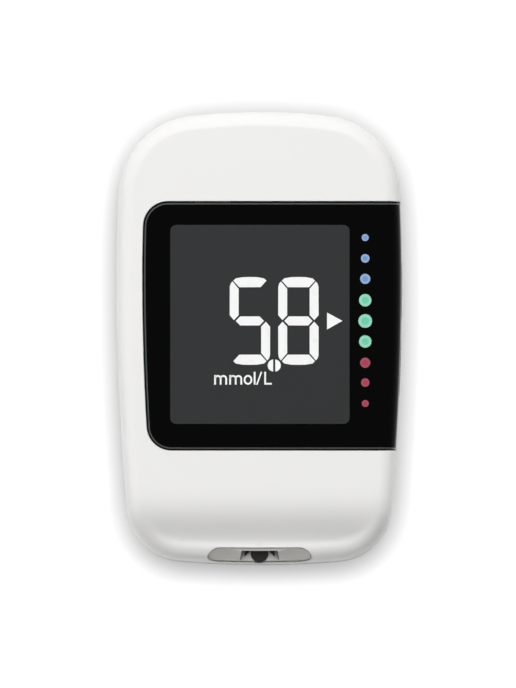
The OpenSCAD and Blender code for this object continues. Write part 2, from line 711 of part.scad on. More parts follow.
module lens_gasket() {
  edge = 0.4; // distance from the lens's edges
  color([0.1, 0.1, 0.1]) translate([0, 0, ledge_z]) linear_extrude(gasket_t) difference() {
    slab_2d(lens_left + 3 * edge, lens_bottom + edge, side_x(lens_bottom) - skirt_t - edge, lens_top - edge);
    slab_2d(-window_half_w, window_y0, window_half_w, window_y1);
    for (y = [lens_bottom, lens_top]) translate([lens_left, y]) circle(6 * edge);
  }
}

// --- display ---

module lcd_front_glass() {
  color([0.2, 0.21, 0.22]) block(-glass_w / 2, glass_y0, glass_top - glass_t, glass_w / 2, glass_y1, glass_top);
}

module lcd_rear_glass() {
  color([0.25, 0.27, 0.28])
    block(-glass_w / 2, rear_glass_y0, rear_glass_z, glass_w / 2, glass_y1, rear_glass_z + glass_t);
}

module light_guide() {
  color([0.85, 0.9, 0.95]) difference() {
    block(-glass_w / 2, rear_glass_y0, guide_z, glass_w / 2, glass_y1, rear_glass_z);
    for (x = led_xs) block(x - led_w / 2 - slack, glass_y1 - led_d - slack, guide_z - past,
      x + led_w / 2 + slack, glass_y1 + past, guide_z + led_h + slack);
    switch_rooms();
  }
}

module backlight_leds() {
  color([0.95, 0.95, 0.85]) for (x = led_xs)
    block(x - led_w / 2, glass_y1 - led_d, guide_z, x + led_w / 2, glass_y1, guide_z + led_h);
}

module display_carrier() {
  out_x = glass_w / 2 + slack + carrier_wall;
  y0 = glass_y0 - slack - carrier_wall;
  y1 = glass_y1 + slack + carrier_wall;
  strip_x = glass_w / 2 - zebra_from_side + slack;
  strip_y = glass_y0 + zebra_from_edge;
  color([0.95, 0.95, 0.93]) difference() {
    block(-out_x, y0, board_top, out_x, y1, carrier_top);
    // Room for the display and its light guide, the connector strip and the space under the floor
    block(-glass_w / 2 - slack, glass_y0 - slack, guide_z, glass_w / 2 + slack, glass_y1 + slack, body_h);
    block(-strip_x, strip_y - slack, board_top - past, strip_x, strip_y + zebra_t + slack, guide_z + past);
    block(-out_x + carrier_wall, guide_floor_y0, board_top - past, out_x - carrier_wall,
      y1 - carrier_wall, carrier_z);
    switch_rooms();
  }
}

module zebra_strip() {
  half = glass_w / 2 - zebra_from_side;
  y0 = glass_y0 + zebra_from_edge;
  color([0.85, 0.45, 0.5]) block(-half, y0, board_top, half, y0 + zebra_t, glass_top - glass_t);
}

// --- circuit board and what it carries ---

module main_board() {
  color([0.05, 0.3, 0.15]) translate([0, 0, board_z]) linear_extrude(board_t) difference() {
    intersection() {
      polygon(outline(board_inset));
      square([2 * (button_end - button_travel - fit), body_l], center = true);
    }
    slab_2d(-port_w / 2 - 0.5, -hl, port_w / 2 + 0.5, bezel_back + 3 * slack);
    for (p = screws) translate(p) circle(post_r + 0.15);
  }
}

module microcontroller() { color([0.08, 0.08, 0.08]) chip(0, under_chips_y, controller_size, true); }

module wireless_module() { color([0.7, 0.7, 0.72]) chip(-8, over_chips_y0 + wireless_size[1] / 2, wireless_size, false); }

module memory_chip() { color([0.1, 0.1, 0.1]) chip(8, over_chips_y0 + memory_size[1] / 2, memory_size, false); }

module clock_crystal() { color([0.75, 0.75, 0.75]) chip(8, under_chips_y, crystal_size, true); }

module chip_capacitors() {
  color([0.65, 0.55, 0.4]) for (y = [-2, 2]) for (k = [0 : capacitor_count - 1])
    chip(-7 - capacitor_pitch * k, under_chips_y + y, capacitor_size, true);
}

// Tray with slanted shoulders and a round nose, which carries the strip's end in the mouth of the slot
module tray(grow, top_z, y1) {
  half = tray_w / 2 + grow;
  translate([0, 0, slot_low - tray_t - grow]) linear_extrude(top_z - slot_low + tray_t + grow) {
    translate([0, tray_y]) circle(tray_r + grow, $fn = 48);
    polygon([[-half, y1], [-half, tray_y - 0.4 - grow], [0, tray_y + half - 0.4 - grow],
      [half, tray_y - 0.4 - grow], [half, y1]]);
    slab_2d(-tray_r - grow, tray_y, tray_r + grow, y1);
  }
}

module strip_connector() {
  channel = blade_w / 2 + slack;
  color([0.12, 0.12, 0.13]) difference() {
    block(-connector_w / 2, connector_y0, board_top, connector_w / 2, connector_y1, board_top + connector_h);
    block(-slot_w / 2, connector_y0 - past, slot_low, slot_w / 2, connector_y1 - 1.8, slot_top);
    for (x = blade_xs)
      block(x - channel, connector_y0 + 1, slot_top - fit, x + channel, connector_y1 + past, blade_roof);
  }
  color([0.12, 0.12, 0.13]) tray(0, slot_low, connector_y0 + fit);
}

module strip_contacts() {
  bump_r = 2 * blade_t;
  color([0.85, 0.7, 0.35]) for (x = blade_xs) {
    x0 = x - blade_w / 2;
    x1 = x + blade_w / 2;
    block(x0, connector_y0 + 1.5, blade_roof - blade_t, x1, connector_y1 + 0.3, blade_roof);
    translate([x, connector_y0 + 3, blade_roof - blade_t - 0.3]) rotate([0, 90, 0])
      cylinder(r = bump_r, h = blade_w, center = true);
    block(x0, connector_y1 + 0.3 - blade_t, board_top, x1, connector_y1 + 0.3, blade_roof);
  }
}

module strip_port_bezel() {
  reach = dish_r - dish_depth;
  color([0.6, 0.59, 0.57]) difference() {
    intersection() {
      front_form(bezel_recess, bezel_recess, parting_z + fit, outer_turns, 4);
      port_bar(port_w - 2 * fit, port_h - 2 * fit, bezel_t);
      block(-port_w, -hl, 0, port_w, bezel_back, body_h);
    }
    // Two shallow dishes beside the slot
    for (s = [-1, 1])
      translate([s * dish_x, port_y - reach * cos(port_lean), port_z + reach * sin(port_lean)])
        sphere(r = dish_r, $fn = 64);
    // Slot, its flared mouth and the room for the connector's tray
    block(-slot_w / 2, -hl - past, slot_low, slot_w / 2, bezel_back + past, slot_top);
    hull() {
      block(-mouth_w / 2, -hl - past, slot_low - slack, mouth_w / 2, 2 * slack - hl, slot_low + mouth_h);
      block(-slot_w / 2, bezel_back - 2.4, slot_low, slot_w / 2, bezel_back - 2.2, slot_top);
    }
    tray(slack, slot_low + slack, bezel_back + past);
  }
}

module usb_shell() {
  color([0.75, 0.75, 0.76]) difference() {
    usb_block(0, usb_back, usb_mouth);
    usb_block(-usb_wall, usb_back + usb_wall, usb_mouth + past);
  }
}

module usb_tongue() {
  back_y = usb_back + usb_wall;
  half = usb_w / 2 - usb_wall - 0.8;
  color([0.1, 0.1, 0.1]) {
    block(-half - 0.2, back_y, usb_z - tongue_t - slack, half + 0.2, back_y + 1, usb_z + tongue_t + slack);
    block(-half, back_y + 1, usb_z - slack, half, usb_mouth - 0.6, usb_z + tongue_t - slack);
  }
}

// --- buttons and switches ---

module button(y) {
  flange_half_l = button_l / 2 + flange_w;
  flange_half_h = button_h / 2 + flange_rim;
  color([0.05, 0.05, 0.055]) {
    stadium_x(button_l, button_h, button_end, side_x(y) + button_proud, y, switch_z);
    block(button_end, y - flange_half_l, switch_z - flange_half_h, flange_out, y + flange_half_l,
      switch_z + flange_half_h);
  }
}
module button_upper() { button(button_ys[0]); }
module button_lower() { button(button_ys[1]); }

module switch(y) {
  color([0.55, 0.55, 0.56]) difference() {
    block(switch_x0, y - switch_l / 2, board_top, switch_x1, y + switch_l / 2, board_top + switch_h);
    translate([plunger_x0 - button_travel - slack, y, switch_z]) rotate([0, 90, 0])
      cylinder(r = plunger_r + 0.06, h = plunger_l + past);
  }
}
module switch_upper() { switch(button_ys[0]); }
module switch_lower() { switch(button_ys[1]); }

module plunger(y) {
  color([0.1, 0.1, 0.1]) translate([plunger_x0, y, switch_z]) rotate([0, 90, 0])
    cylinder(r = plunger_r, h = plunger_l);
}
module plunger_upper() { plunger(button_ys[0]); }
module plunger_lower() { plunger(button_ys[1]); }

// --- cells, contacts and door ---

module battery_door() {
  catch_half = latch_w / 2 - slit_w;
  rock_half = opening_hx - door_gap - door_corner_r;
  color([0.92, 0.92, 0.91]) difference() {
    union() {
      translate([0, cells_y, 0]) linear_extrude(door_t)
        rounded(2 * (opening_hx - door_gap), 2 * (opening_hy - door_gap), door_corner_r);
      for (x = [-hook_x, hook_x]) {
        x0 = x - hook_w / 2;
        x1 = x + hook_w / 2;
        block(x0, hinge_y, door_t - 2 * slack, x1, hook_root, hook_z1);
        block(x0, hinge_y - hook_reach, hook_z0, x1, hook_root, hook_z1);
      }
      block(-catch_half, opening_y1 - 1.6, door_t - 2 * slack, catch_half, opening_y1 - 0.6, latch_z1);
    }
    // Slits that free the latch tab, and its grip grooves
    for (x = [-latch_w / 2, latch_w / 2])
      block(x - slit_w / 2, opening_y1 - latch_l, -past, x + slit_w / 2, opening_y1, door_t + past);
    for (k = [0 : groove_count - 1]) let (y = opening_y1 - 1 - groove_pitch * k)
      block(-latch_w / 2 + 1, y - 0.2, -past, latch_w / 2 - 1, y + 0.2, 0.25);
    // Round edge that it rocks on
    difference() {
      block(-rock_half, hinge_y - past, -past, rock_half, hinge_y + rock_r, rock_r);
      translate([0, hinge_y + rock_r, rock_r]) rotate([0, 90, 0])
        cylinder(r = rock_r, h = 2 * (rock_half + past), center = true);
    }
  }
}

module coin_cell(x) {
  r = cell_d / 2;
  seam = 0.3; // rounding of the rim and height of the cap's step
  color([0.75, 0.76, 0.77]) translate([x, cells_y, cell_z]) rotate_extrude() polygon([[0, 0], [r - seam, 0],
    [r, seam], [r, cell_h - 2 * seam], [r - seam, cell_h - seam], [r - 3 * seam, cell_h - seam],
    [r - 4 * seam, cell_h], [0, cell_h]]);
}
module coin_cell_left() { coin_cell(-cell_x); }
module coin_cell_right() { coin_cell(cell_x); }

// A spring over the cell, with a raised pad that presses on it and a blade up to the board
module negative_contact(x) {
  x0 = x - face_contact_w / 2;
  x1 = x + face_contact_w / 2;
  y0 = face_contact_y - contact_t / 2;
  color([0.8, 0.78, 0.7]) {
    block(x0, y0, bay_z - contact_t, x1, cells_y + 3, bay_z);
    translate([x, cells_y + 1.2, bay_z - contact_room])
      cylinder(r = face_contact_w / 2, h = contact_room - contact_t / 2);
    block(x0, y0, bay_z - contact_t, x1, y0 + contact_t, board_z);
  }
}
module negative_contact_left() { negative_contact(-cell_x); }
module negative_contact_right() { negative_contact(cell_x); }

module positive_contact(x) {
  y0 = rim_contact_y + 0.02;
  color([0.8, 0.78, 0.7])
    block(x - rim_contact_w / 2, y0, cell_z + 0.3, x + rim_contact_w / 2, y0 + contact_t, board_z);
}
module positive_contact_left() { positive_contact(-cell_x); }
module positive_contact_right() { positive_contact(cell_x); }

// --- screws and rating plate ---

module housing_screws() {
  color([0.3, 0.3, 0.31]) for (p = screws) translate([p[0], p[1], head_recess]) difference() {
    union() {
      translate([0, 0, -head_h]) cylinder(r = head_r, h = head_h);
      cylinder(r = screw_r, h = screw_l);
    }
    for (a = [0, 60, 120]) rotate([0, 0, a]) translate([-drive_r, -drive_w / 2, -head_h - past])
      cube([2 * drive_r, drive_w, past + drive_depth]);
  }
}

module rating_plate() {
  color([0.8, 0.8, 0.8]) translate([0, plate_y, fit]) linear_extrude(plate_recess - fit)
    rounded(plate_w, plate_l, plate_corner_r);
}

front_housing();
rear_housing();
display_lens();
lens_gasket();
lcd_front_glass();
lcd_rear_glass();
light_guide();
backlight_leds();
display_carrier();
zebra_strip();
main_board();
microcontroller();
wireless_module();
memory_chip();
clock_crystal();
chip_capacitors();
strip_connector();
strip_contacts();
strip_port_bezel();
usb_shell();
usb_tongue();
button_upper();
button_lower();
switch_upper();
switch_lower();
plunger_upper();
plunger_lower();
battery_door();
coin_cell_left();
coin_cell_right();
negative_contact_left();
negative_contact_right();
positive_contact_left();
positive_contact_right();
housing_screws();
rating_plate();
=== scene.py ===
import math

import bmesh
import bpy
import numpy as np
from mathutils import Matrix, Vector
from mathutils.geometry import delaunay_2d_cdt
from mathutils.kdtree import KDTree


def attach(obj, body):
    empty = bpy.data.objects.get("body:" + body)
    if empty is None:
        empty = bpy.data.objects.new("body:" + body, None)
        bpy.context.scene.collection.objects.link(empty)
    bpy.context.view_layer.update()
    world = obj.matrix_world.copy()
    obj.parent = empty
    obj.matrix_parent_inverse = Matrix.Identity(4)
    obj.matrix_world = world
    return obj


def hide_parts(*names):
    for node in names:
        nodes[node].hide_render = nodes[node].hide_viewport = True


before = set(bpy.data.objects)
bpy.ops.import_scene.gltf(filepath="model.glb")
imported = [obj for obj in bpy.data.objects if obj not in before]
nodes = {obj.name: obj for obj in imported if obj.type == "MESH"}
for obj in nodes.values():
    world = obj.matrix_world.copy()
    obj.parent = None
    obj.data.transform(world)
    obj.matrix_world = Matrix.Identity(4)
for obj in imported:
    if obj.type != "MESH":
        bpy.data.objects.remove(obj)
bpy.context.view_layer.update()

MM = 0.001
# Body, in millimetres, by the same values as the solids
HW, HL, BODY_H = 24.3, 38.55, 15.3  # half width, half length and height
WIDEST_Y, PARTING_Z = 10.7, 6.6  # where the body is widest, and where its shells part
SIDE_DRAFT, CROWN_SIDE, CROWN_END = 0.25, 0.35, 0.25  # the side's lean, the face's fall to the edges
CHIN_DROP, CHIN_START, CHIN_END = 4.0, 14.5, 3.4  # start and end are measured from the near end
NOSE_START, NOSE_END = 10.0, 3.5  # where the rolled edge grows to the nose's, from the near end
FRONT_ROLL, NOSE_ROLL, BACK_ROLL = (2.6, 3.2), (3.15, 4.2), (3.4, 4.4)  # widths and heights
WALL, SLACK, FIT = 1.5, 0.1, 0.05
EDGE, LENS_EDGE, SMALL_EDGE, PLATE_EDGE = 0.14, 0.4, 0.1, 0.06  # bevels of the openings and of the lens
BULGE = 0.2  # how far a bevel in two steps bulges out, as a share of the bevel
# Outline: the corners' radii at the top and the bottom, and how far the end arcs and corner arcs turn there
TOP_CORNER_R, LOW_CORNER_R = 13.6, 9.8
TOP_END, TOP_CORNER, LOW_END, LOW_CORNER = map(math.radians, (6.8, 80.3, 5.1, 79.9))
# Lens
LENS_TOP, LENS_BOTTOM, LENS_SIDE, LENS_R = HL - 15.55, 19.65 - HL, 4.6, 4.1  # LENS_SIDE is the left margin
LENS_GAP, LENS_T, SKIRT_Z = 0.12, 1.4, 7.9  # the lens reaches down the right side to SKIRT_Z
# Strip port and USB socket
PORT_W, PORT_H, PORT_WALL, LEAN = 17.7, 4.2, 1.8, math.radians(45)  # seen along an axis that leans by LEAN
BEZEL_T, BEZEL_DEPTH, BEZEL_RECESS, BEZEL_BEVEL, BEZEL_GRID = 4.2, 5.6, 0.35, 0.07, 0.3
SLOT_W, SLOT_Z, SLOT_H = 5.8, 9.0, 1.0
MOUTH_W, MOUTH_H, MOUTH_END = 7.0, 4.8, 2.4  # it narrows to the slot MOUTH_END ahead of the bezel's back
TRAY_W, TRAY_T, TRAY_R, TRAY_FROM_END, TRAY_NECK = 5.0, 0.4, 1.4, 1.95, 0.4  # the connector's tongue
DISH_R, DISH_X, DISH_DEPTH = 9.0, 5.9, 0.9  # the balls that cut the dishes
PAST = 1.0  # how far a cut runs past what it cuts
USB_W, USB_H, USB_Z, USB_R = 8.2, 3.3, 9.5, 0.6
# Buttons
BUTTON_YS, BUTTON_L, BUTTON_H, BUTTON_Z, BUTTON_GAP = (8.0, -5.0), 9.5, 2.6, 9.8, 0.12
BUTTON_PROUD, CAP_R, CAP_FALL, CAP_ROWS = 0.02, 0.3, 0.6, 5  # the cap's edge falls CAP_FALL times CAP_R
FLANGE_T, FLANGE_L, FLANGE_H = 0.7, 0.8, 0.2  # the flange behind the lens, and its reach past the cap
SKIRT_T, SLAB_T = 1.5, 1.4  # the lens's skirt and the side wall behind it
BUTTON_ROOT = HW - (SKIRT_T + 2 * SLACK) - SLAB_T - FIT - FLANGE_T
# Back
DOOR_Y, DOOR_HX, DOOR_HY, DOOR_R, DOOR_T, DOOR_GAP = -6.0, 20.4, 11.25, 9.15, 1.4, 0.15  # HX, HY: half sizes
CELL_X, CELL_R, CELL_TOP = 10.2, 10.15, 5.25
SCREWS = [(s * x, y) for s in (-1, 1) for x, y in ((14.0, 29.55), (16.6, -26.75))]
HEAD_R, HEAD_RECESS, POST_WALL, POST_T = 2.05, 1.8, 0.5, 2.0  # the screws' holes and the posts round them
PLATE_Y, PLATE_W, PLATE_L, PLATE_R, PLATE_RECESS = 17.35, 30.2, 13.2, 2.1, 0.2
PLATE_LAP, PLATE_IN = 0.4, 0.3  # how far the recess's floor reaches past its outline, and in past the wall
SCOOP_Y, SCOOP_R, SCOOP_DEPTH, SCOOP_HX, SCOOP_BLEND, SCOOP_TOP = 6.85, 9.0, 0.9, 5.0, 0.2, 11.2
BAY_WALL, BAY_ROOF, BAY_BEVEL = 0.3, 0.8, 0.1
# The bay's room for the hooks and for the latch: half width, start and end in Y from the door's edge, height
HOOK_WELL, LATCH_WELL = (4.3, -2.0, 3.4, 3.3), (4.2, -2.2, 0.0, 2.6)
HOOK_X, HOOK_HW, HOOK_REACH, HOOK_LOW, HOOK_TOP, HOOK_ROOT = 2.7, 1.2, 1.5, 1.65, 2.4, 1.25
LATCH_HW, LATCH_FROM, LATCH_TO, LATCH_TOP = 3.5, 1.6, 0.6, 2.4
SPLIT_X, SPLIT_HW, SPLIT_L = 4.0, 0.25, 5.0  # the slits that let the latch bend
GRIP_COUNT, GRIP_FROM, GRIP_HX, GRIP_PITCH, GRIP_HW, GRIP_DEPTH = 4, 1.0, 3.0, 0.9, 0.2, 0.25  # grooves
DOOR_ROOT, DOOR_BEVEL = 0.2, 0.12  # how deep the hooks and the latch root in its plate, and its bevel


# --- outline ---
def arc_radii(w, l, a, b, rc):
    """Radii of the end arc and the side arc that close a quarter of the outline."""
    s1, s2, c1, c2 = math.sin(a), math.sin(a + b), math.cos(a), math.cos(a + b)
    m, n = w - rc * (s2 - s1), l - rc * (c1 - c2)
    det = s1 * c2 - (1 - s2) * (1 - c1)
    return (m * c2 - (1 - s2) * n) / det, (s1 * n - (1 - c1) * m) / det


def outline_arcs():
    """Arcs down the right side as centre x, centre y, radius, first angle and last angle."""
    up = math.pi / 2
    top = arc_radii(HW, HL - WIDEST_Y, TOP_END, TOP_CORNER, TOP_CORNER_R)
    low = arc_radii(HW, HL + WIDEST_Y, LOW_END, LOW_CORNER, LOW_CORNER_R)
    from_top, from_low = up - TOP_END, LOW_END - up
    top_y, low_y = HL - top[0], low[0] - HL
    in_top, in_low = top[0] - TOP_CORNER_R, low[0] - LOW_CORNER_R
    top_side, low_side = from_top - TOP_CORNER, from_low + LOW_CORNER
    return np.array([
        (0, top_y, top[0], up, from_top),
        (in_top * math.cos(from_top), top_y + in_top * math.sin(from_top), TOP_CORNER_R, from_top, top_side),
        (HW - top[1], WIDEST_Y, top[1], top_side, 0),
        (HW - low[1], WIDEST_Y, low[1], 0, low_side),
        (in_low * math.cos(from_low), low_y + in_low * math.sin(from_low), LOW_CORNER_R, low_side, from_low),
        (0, low_y, low[0], from_low, -up)])


ARCS = outline_arcs()
ENDS = np.concatenate([[0], np.cumsum(ARCS[:, 2] * (ARCS[:, 3] - ARCS[:, 4]))])
HALF = ENDS[-1]  # length of the outline down one side


def plan(t, inset):
    """Points at lengths t down the right side, moved in by inset."""
    t = np.asarray(t, float)
    k = np.clip(np.searchsorted(ENDS, t, side="right") - 1, 0, len(ARCS) - 1)
    a = ARCS[k, 3] - (t - ENDS[k]) / ARCS[k, 2]
    r = ARCS[k, 2] - inset
    return np.stack([ARCS[k, 0] + r * np.cos(a), ARCS[k, 1] + r * np.sin(a)], -1)


def locate(q):
    """Side (-1 or 1), length down the outline and inset of plan points."""
    side = np.where(q[:, 0] < 0, -1.0, 1.0)
    x, y = np.abs(q[:, 0]), q[:, 1]
    best = np.full(len(q), 1e9)
    t = np.zeros(len(q))
    for k, (cx, cy, r, a0, a1) in enumerate(ARCS):
        a = np.arctan2(y - cy, x - cx)
        inset = r - np.hypot(x - cx, y - cy)
        hit = (a <= a0 + 1e-6) & (a >= a1 - 1e-6) & (inset < best)
        best = np.where(hit, inset, best)
        t = np.where(hit, np.clip(ENDS[k] + (a0 - a) * r, 0, HALF), t)
    return side, t, best


def ease(t):
    """0 to 1 with a smooth start and end."""
    t = np.clip(t, 0, 1)
    return t * t * (3 - 2 * t)


def face_z(x, y):
    """Height of the front face: a slight crown that drops away over the chin."""
    t = np.clip((CHIN_START - HL - y) / (CHIN_START - CHIN_END), 0, 1)
    chin = CHIN_DROP * t ** 4 * (5 - 4 * t)
    return BODY_H - CROWN_SIDE * (x / HW) ** 2 - CROWN_END * (y / HL) ** 2 - chin


def quarter(w, h):
    """Length of a quarter of an ellipse."""
    return math.pi / 4 * (3 * (w + h) - np.sqrt((3 * w + h) * (w + 3 * h)))


class Front:
    """Front shell's outer face: crown, chin, rolled edge and drafted side."""

    sign = 1

    def roll(self, t):
        """Width and height of the rolled edge, and the inset of its crest."""
        k = ease((NOSE_START - HL - plan(t, 0)[:, 1]) / (NOSE_START - NOSE_END))
        w = FRONT_ROLL[0] + (NOSE_ROLL[0] - FRONT_ROLL[0]) * k
        h = FRONT_ROLL[1] + (NOSE_ROLL[1] - FRONT_ROLL[1]) * k
        return w, h, SIDE_DRAFT + w

    def crest_z(self, t, e0):
        """Height of the face where the roll starts."""
        p = plan(t, e0)
        return face_z(p[:, 0], p[:, 1])

    def reach(self, t, z):
        """How far past the crest the side comes to a height."""
        w, h, e0 = self.roll(t)
        return quarter(w, h) + self.crest_z(t, e0) - h - z

    def edge(self, t, u):
        """Places u past the crest, at lengths t down the right side."""
        w, h, e0 = self.roll(t)
        zt, length = self.crest_z(t, e0), quarter(w, h)
        turn = np.clip(u / length, 0, 1) * math.pi / 2
        z = zt - h * (1 - np.cos(turn)) - np.maximum(u - length, 0)
        down = SIDE_DRAFT * (z - PARTING_Z) / (zt - h - PARTING_Z)
        return np.column_stack([plan(t, np.where(u > length, down, e0 - w * np.sin(turn))), z])

    def face(self, q):
        """Height of the face."""
        return face_z(q[:, 0], q[:, 1])

    def __call__(self, q):
        """Places of unrolled plan points."""
        side, t, inset = locate(q)
        u = self.roll(t)[2] - inset
        p = self.edge(t, np.maximum(u, 0))
        p[:, 0] *= side
        return np.where((u <= 0)[:, None], np.column_stack([q, self.face(q)]), p)


class Rear(Front):
    """Rear shell's outer face: flat back with a finger scoop, and its rolled edge."""

    sign = -1

    def roll(self, t):
        w = np.full(len(t), BACK_ROLL[0])
        return w, np.full(len(t), BACK_ROLL[1]), w

    def reach(self, t, z):
        return quarter(*BACK_ROLL) - BACK_ROLL[1] + z + 0 * t

    def edge(self, t, u):
        w, h, e0 = self.roll(t)
        length = quarter(w, h)
        turn = np.clip(u / length, 0, 1) * math.pi / 2
        z = h * (1 - np.cos(turn)) + np.maximum(u - length, 0)
        return np.column_stack([plan(t, w - w * np.sin(turn)), z])

    def face(self, q):
        reach = np.maximum(SCOOP_R ** 2 - (q[:, 1] - SCOOP_Y) ** 2, 0)
        depth = np.maximum(np.sqrt(reach) - (SCOOP_R - SCOOP_DEPTH), 0)
        return depth * ease((SCOOP_HX + SCOOP_BLEND - np.abs(q[:, 0])) / (2 * SCOOP_BLEND))


front, rear = Front(), Rear()


def shaped(form, q, step=1e-3):
    """Places and outward normals of unrolled plan points."""
    q = np.asarray(q, float)
    dx, dy = np.array([step, 0]), np.array([0, step])
    n = np.cross(form(q + dx) - form(q - dx), form(q + dy) - form(q - dy)) * form.sign
    return form(q), n / np.linalg.norm(n, axis=1)[:, None]


def bisect(f, lo, hi, n=44):
    """Where f rises through zero, for arrays."""
    lo, hi = np.array(lo, float), np.array(hi, float)
    for _ in range(n):
        mid = (lo + hi) / 2
        below = f(mid) < 0
        lo, hi = np.where(below, mid, lo), np.where(below, hi, mid)
    return (lo + hi) / 2


def newton(form, goal, ways, q, step=1e-3):
    """Unrolled plan points whose places have the goal's values along two directions."""
    q, ways = np.array(q, float), np.array(ways, float).T
    dx, dy = np.array([step, 0]), np.array([0, step])
    for _ in range(16):
        miss = form(q) @ ways - goal
        jx = (form(q + dx) - form(q - dx)) @ ways / (2 * step)
        jy = (form(q + dy) - form(q - dy)) @ ways / (2 * step)
        det = jx[:, 0] * jy[:, 1] - jx[:, 1] * jy[:, 0]
        det = np.where(np.abs(det) < 1e-4, 1e-4, det)[:, None]
        move = np.stack([jy[:, 1] * miss[:, 0] - jy[:, 0] * miss[:, 1],
                         jx[:, 0] * miss[:, 1] - jx[:, 1] * miss[:, 0]], -1) / det
        q -= np.clip(move, -1, 1)
    return q


# --- loops in plan ---
def arc_steps():
    """Lengths down the outline: close together in the corners and further apart on the long arcs."""
    counts = (8, 26, 14, 24, 22, 8)
    spans = [np.linspace(ENDS[k], ENDS[k + 1], n + 1)[:-1] for k, n in enumerate(counts)]
    return np.concatenate(spans + [[HALF]])


STEPS = arc_steps()


def ring(form, u):
    """Closed loop u past the crest; u follows the length down the outline."""
    half = plan(STEPS, form.roll(STEPS)[2] - u)
    return np.concatenate([half, (half * (-1, 1))[-2:0:-1]])


def rounded_rect(hx, hy, r, cx=0.0, cy=0.0, n=10, m=8):
    """Closed loop round a rectangle with round corners, with m steps along each side."""
    out = []
    for k, (sx, sy) in enumerate(((1, 1), (-1, 1), (-1, -1), (1, -1))):
        a = np.linspace(0, math.pi / 2, n + 1) + k * math.pi / 2
        out.append(np.stack([cx + sx * (hx - r) + r * np.cos(a), cy + sy * (hy - r) + r * np.sin(a)], -1))
    sides = [np.linspace(out[k][-1], out[(k + 1) % 4][0], m + 1)[1:-1] for k in range(4)]
    return np.concatenate([p for pair in zip(out, sides) for p in pair if len(p)])


def stadium(w, h, cx=0.0, cy=0.0, n=14, m=12):
    """Closed loop of two half circles joined by straight lines."""
    a = np.linspace(-math.pi / 2, math.pi / 2, n + 1)
    arc = np.stack([(w - h) / 2 + h / 2 * np.cos(a), h / 2 * np.sin(a)], -1)
    line = np.linspace(arc[-1], arc[-1] * (-1, 1), m + 1)[1:-1]
    half = np.concatenate([arc, line])
    return np.concatenate([half, -half]) + (cx, cy)


def circle(cx, cy, r, n=40):
    """Closed loop of n points round a circle."""
    a = np.arange(n) * 2 * math.pi / n
    return np.stack([cx + r * np.cos(a), cy + r * np.sin(a)], -1)


def inside(pts, loop):
    """True for the points inside a closed loop."""
    x, y = pts[:, 0], pts[:, 1]
    hit = np.zeros(len(pts), bool)
    for (x0, y0), (x1, y1) in zip(loop, np.roll(loop, -1, axis=0)):
        if y0 != y1:
            hit ^= ((y0 > y) != (y1 > y)) & (x < x0 + (y - y0) * (x1 - x0) / (y1 - y0))
    return hit


def clear_of(pts, loops, gap):
    """The points further than gap from every loop."""
    dense = np.concatenate([loop + (np.roll(loop, -1, axis=0) - loop) * share
                            for loop in loops for share in np.arange(6) / 6])
    tree = KDTree(len(dense))
    for i, p in enumerate(dense):
        tree.insert((p[0], p[1], 0), i)
    tree.balance()
    return np.array([p for p in pts if tree.find((p[0], p[1], 0))[2] > gap])


def triangulate(outer, holes, marks, fill, gap):
    """Plan points and triangles of a region with holes, and each loop's points; marks are lines inside it."""
    loops = [outer] + holes + marks
    keep = fill[inside(fill, outer)]
    for h in holes:
        keep = keep[~inside(keep, h)]
    keep = clear_of(keep, loops, gap)
    edges, at = [], 0
    for loop in loops:
        edges += [(at + i, at + (i + 1) % len(loop)) for i in range(len(loop))]
        at += len(loop)
    out = delaunay_2d_cdt([Vector(p) for p in np.concatenate(loops + [keep])], edges, [], 0, 1e-7)
    verts, origin = np.array([tuple(p) for p in out[0]]), out[3]
    where = {src: new for new, srcs in enumerate(origin) for src in srcs}
    tris = np.array([t for t in out[2] if len(t) == 3])
    mid = verts[tris].mean(axis=1)
    good = inside(mid, outer)
    for h in holes:
        good &= ~inside(mid, h)
    ids, at = [], 0
    for loop in loops[:1 + len(holes)]:
        ids.append([where[at + i] for i in range(len(loop))])
        at += len(loop)
    return verts, tris[good], ids


# --- meshes ---
class Sheet:
    """Collects points with normals, smooth faces that use them and flat faces."""

    def __init__(self):
        self.v, self.n, self.f, self.smooth, self.mat = [], [], [], [], []

    def add(self, pts, normals=None):
        """Adds points and gives their numbers."""
        i = len(self.v)
        self.v.extend(map(tuple, pts))
        self.n.extend(map(tuple, normals if normals is not None else np.zeros((len(pts), 3))))
        return list(range(i, len(self.v)))

    def face(self, ids, smooth=False, mat=0):
        """Adds a face on points' numbers."""
        self.f.append(tuple(ids))
        self.smooth.append(smooth)
        self.mat.append(mat)

    def strip(self, a, b, smooth=False, mat=0):
        """Adds a closed band of faces between two loops."""
        for i in range(len(a)):
            j = (i + 1) % len(a)
            self.face((a[i], a[j], b[j], b[i]), smooth, mat)

    def mesh(self, name):
        """The collected faces as a mesh, in metres."""
        me = bpy.data.meshes.new(name)
        me.from_pydata([tuple(c * MM for c in p) for p in self.v], [], self.f)
        me.polygons.foreach_set("use_smooth", self.smooth)
        me.polygons.foreach_set("material_index", self.mat)
        bm = bmesh.new()
        bm.from_mesh(me)
        bmesh.ops.recalc_face_normals(bm, faces=bm.faces)
        bm.to_mesh(me)
        bm.free()
        loops = []
        for p in me.polygons:
            for i in p.vertices:
                n = Vector(self.n[i]) if p.use_smooth else Vector((0, 0, 0))
                loops.append(n if n.dot(p.normal) > -0.2 else -n)
        me.normals_split_custom_set(loops)
        return me


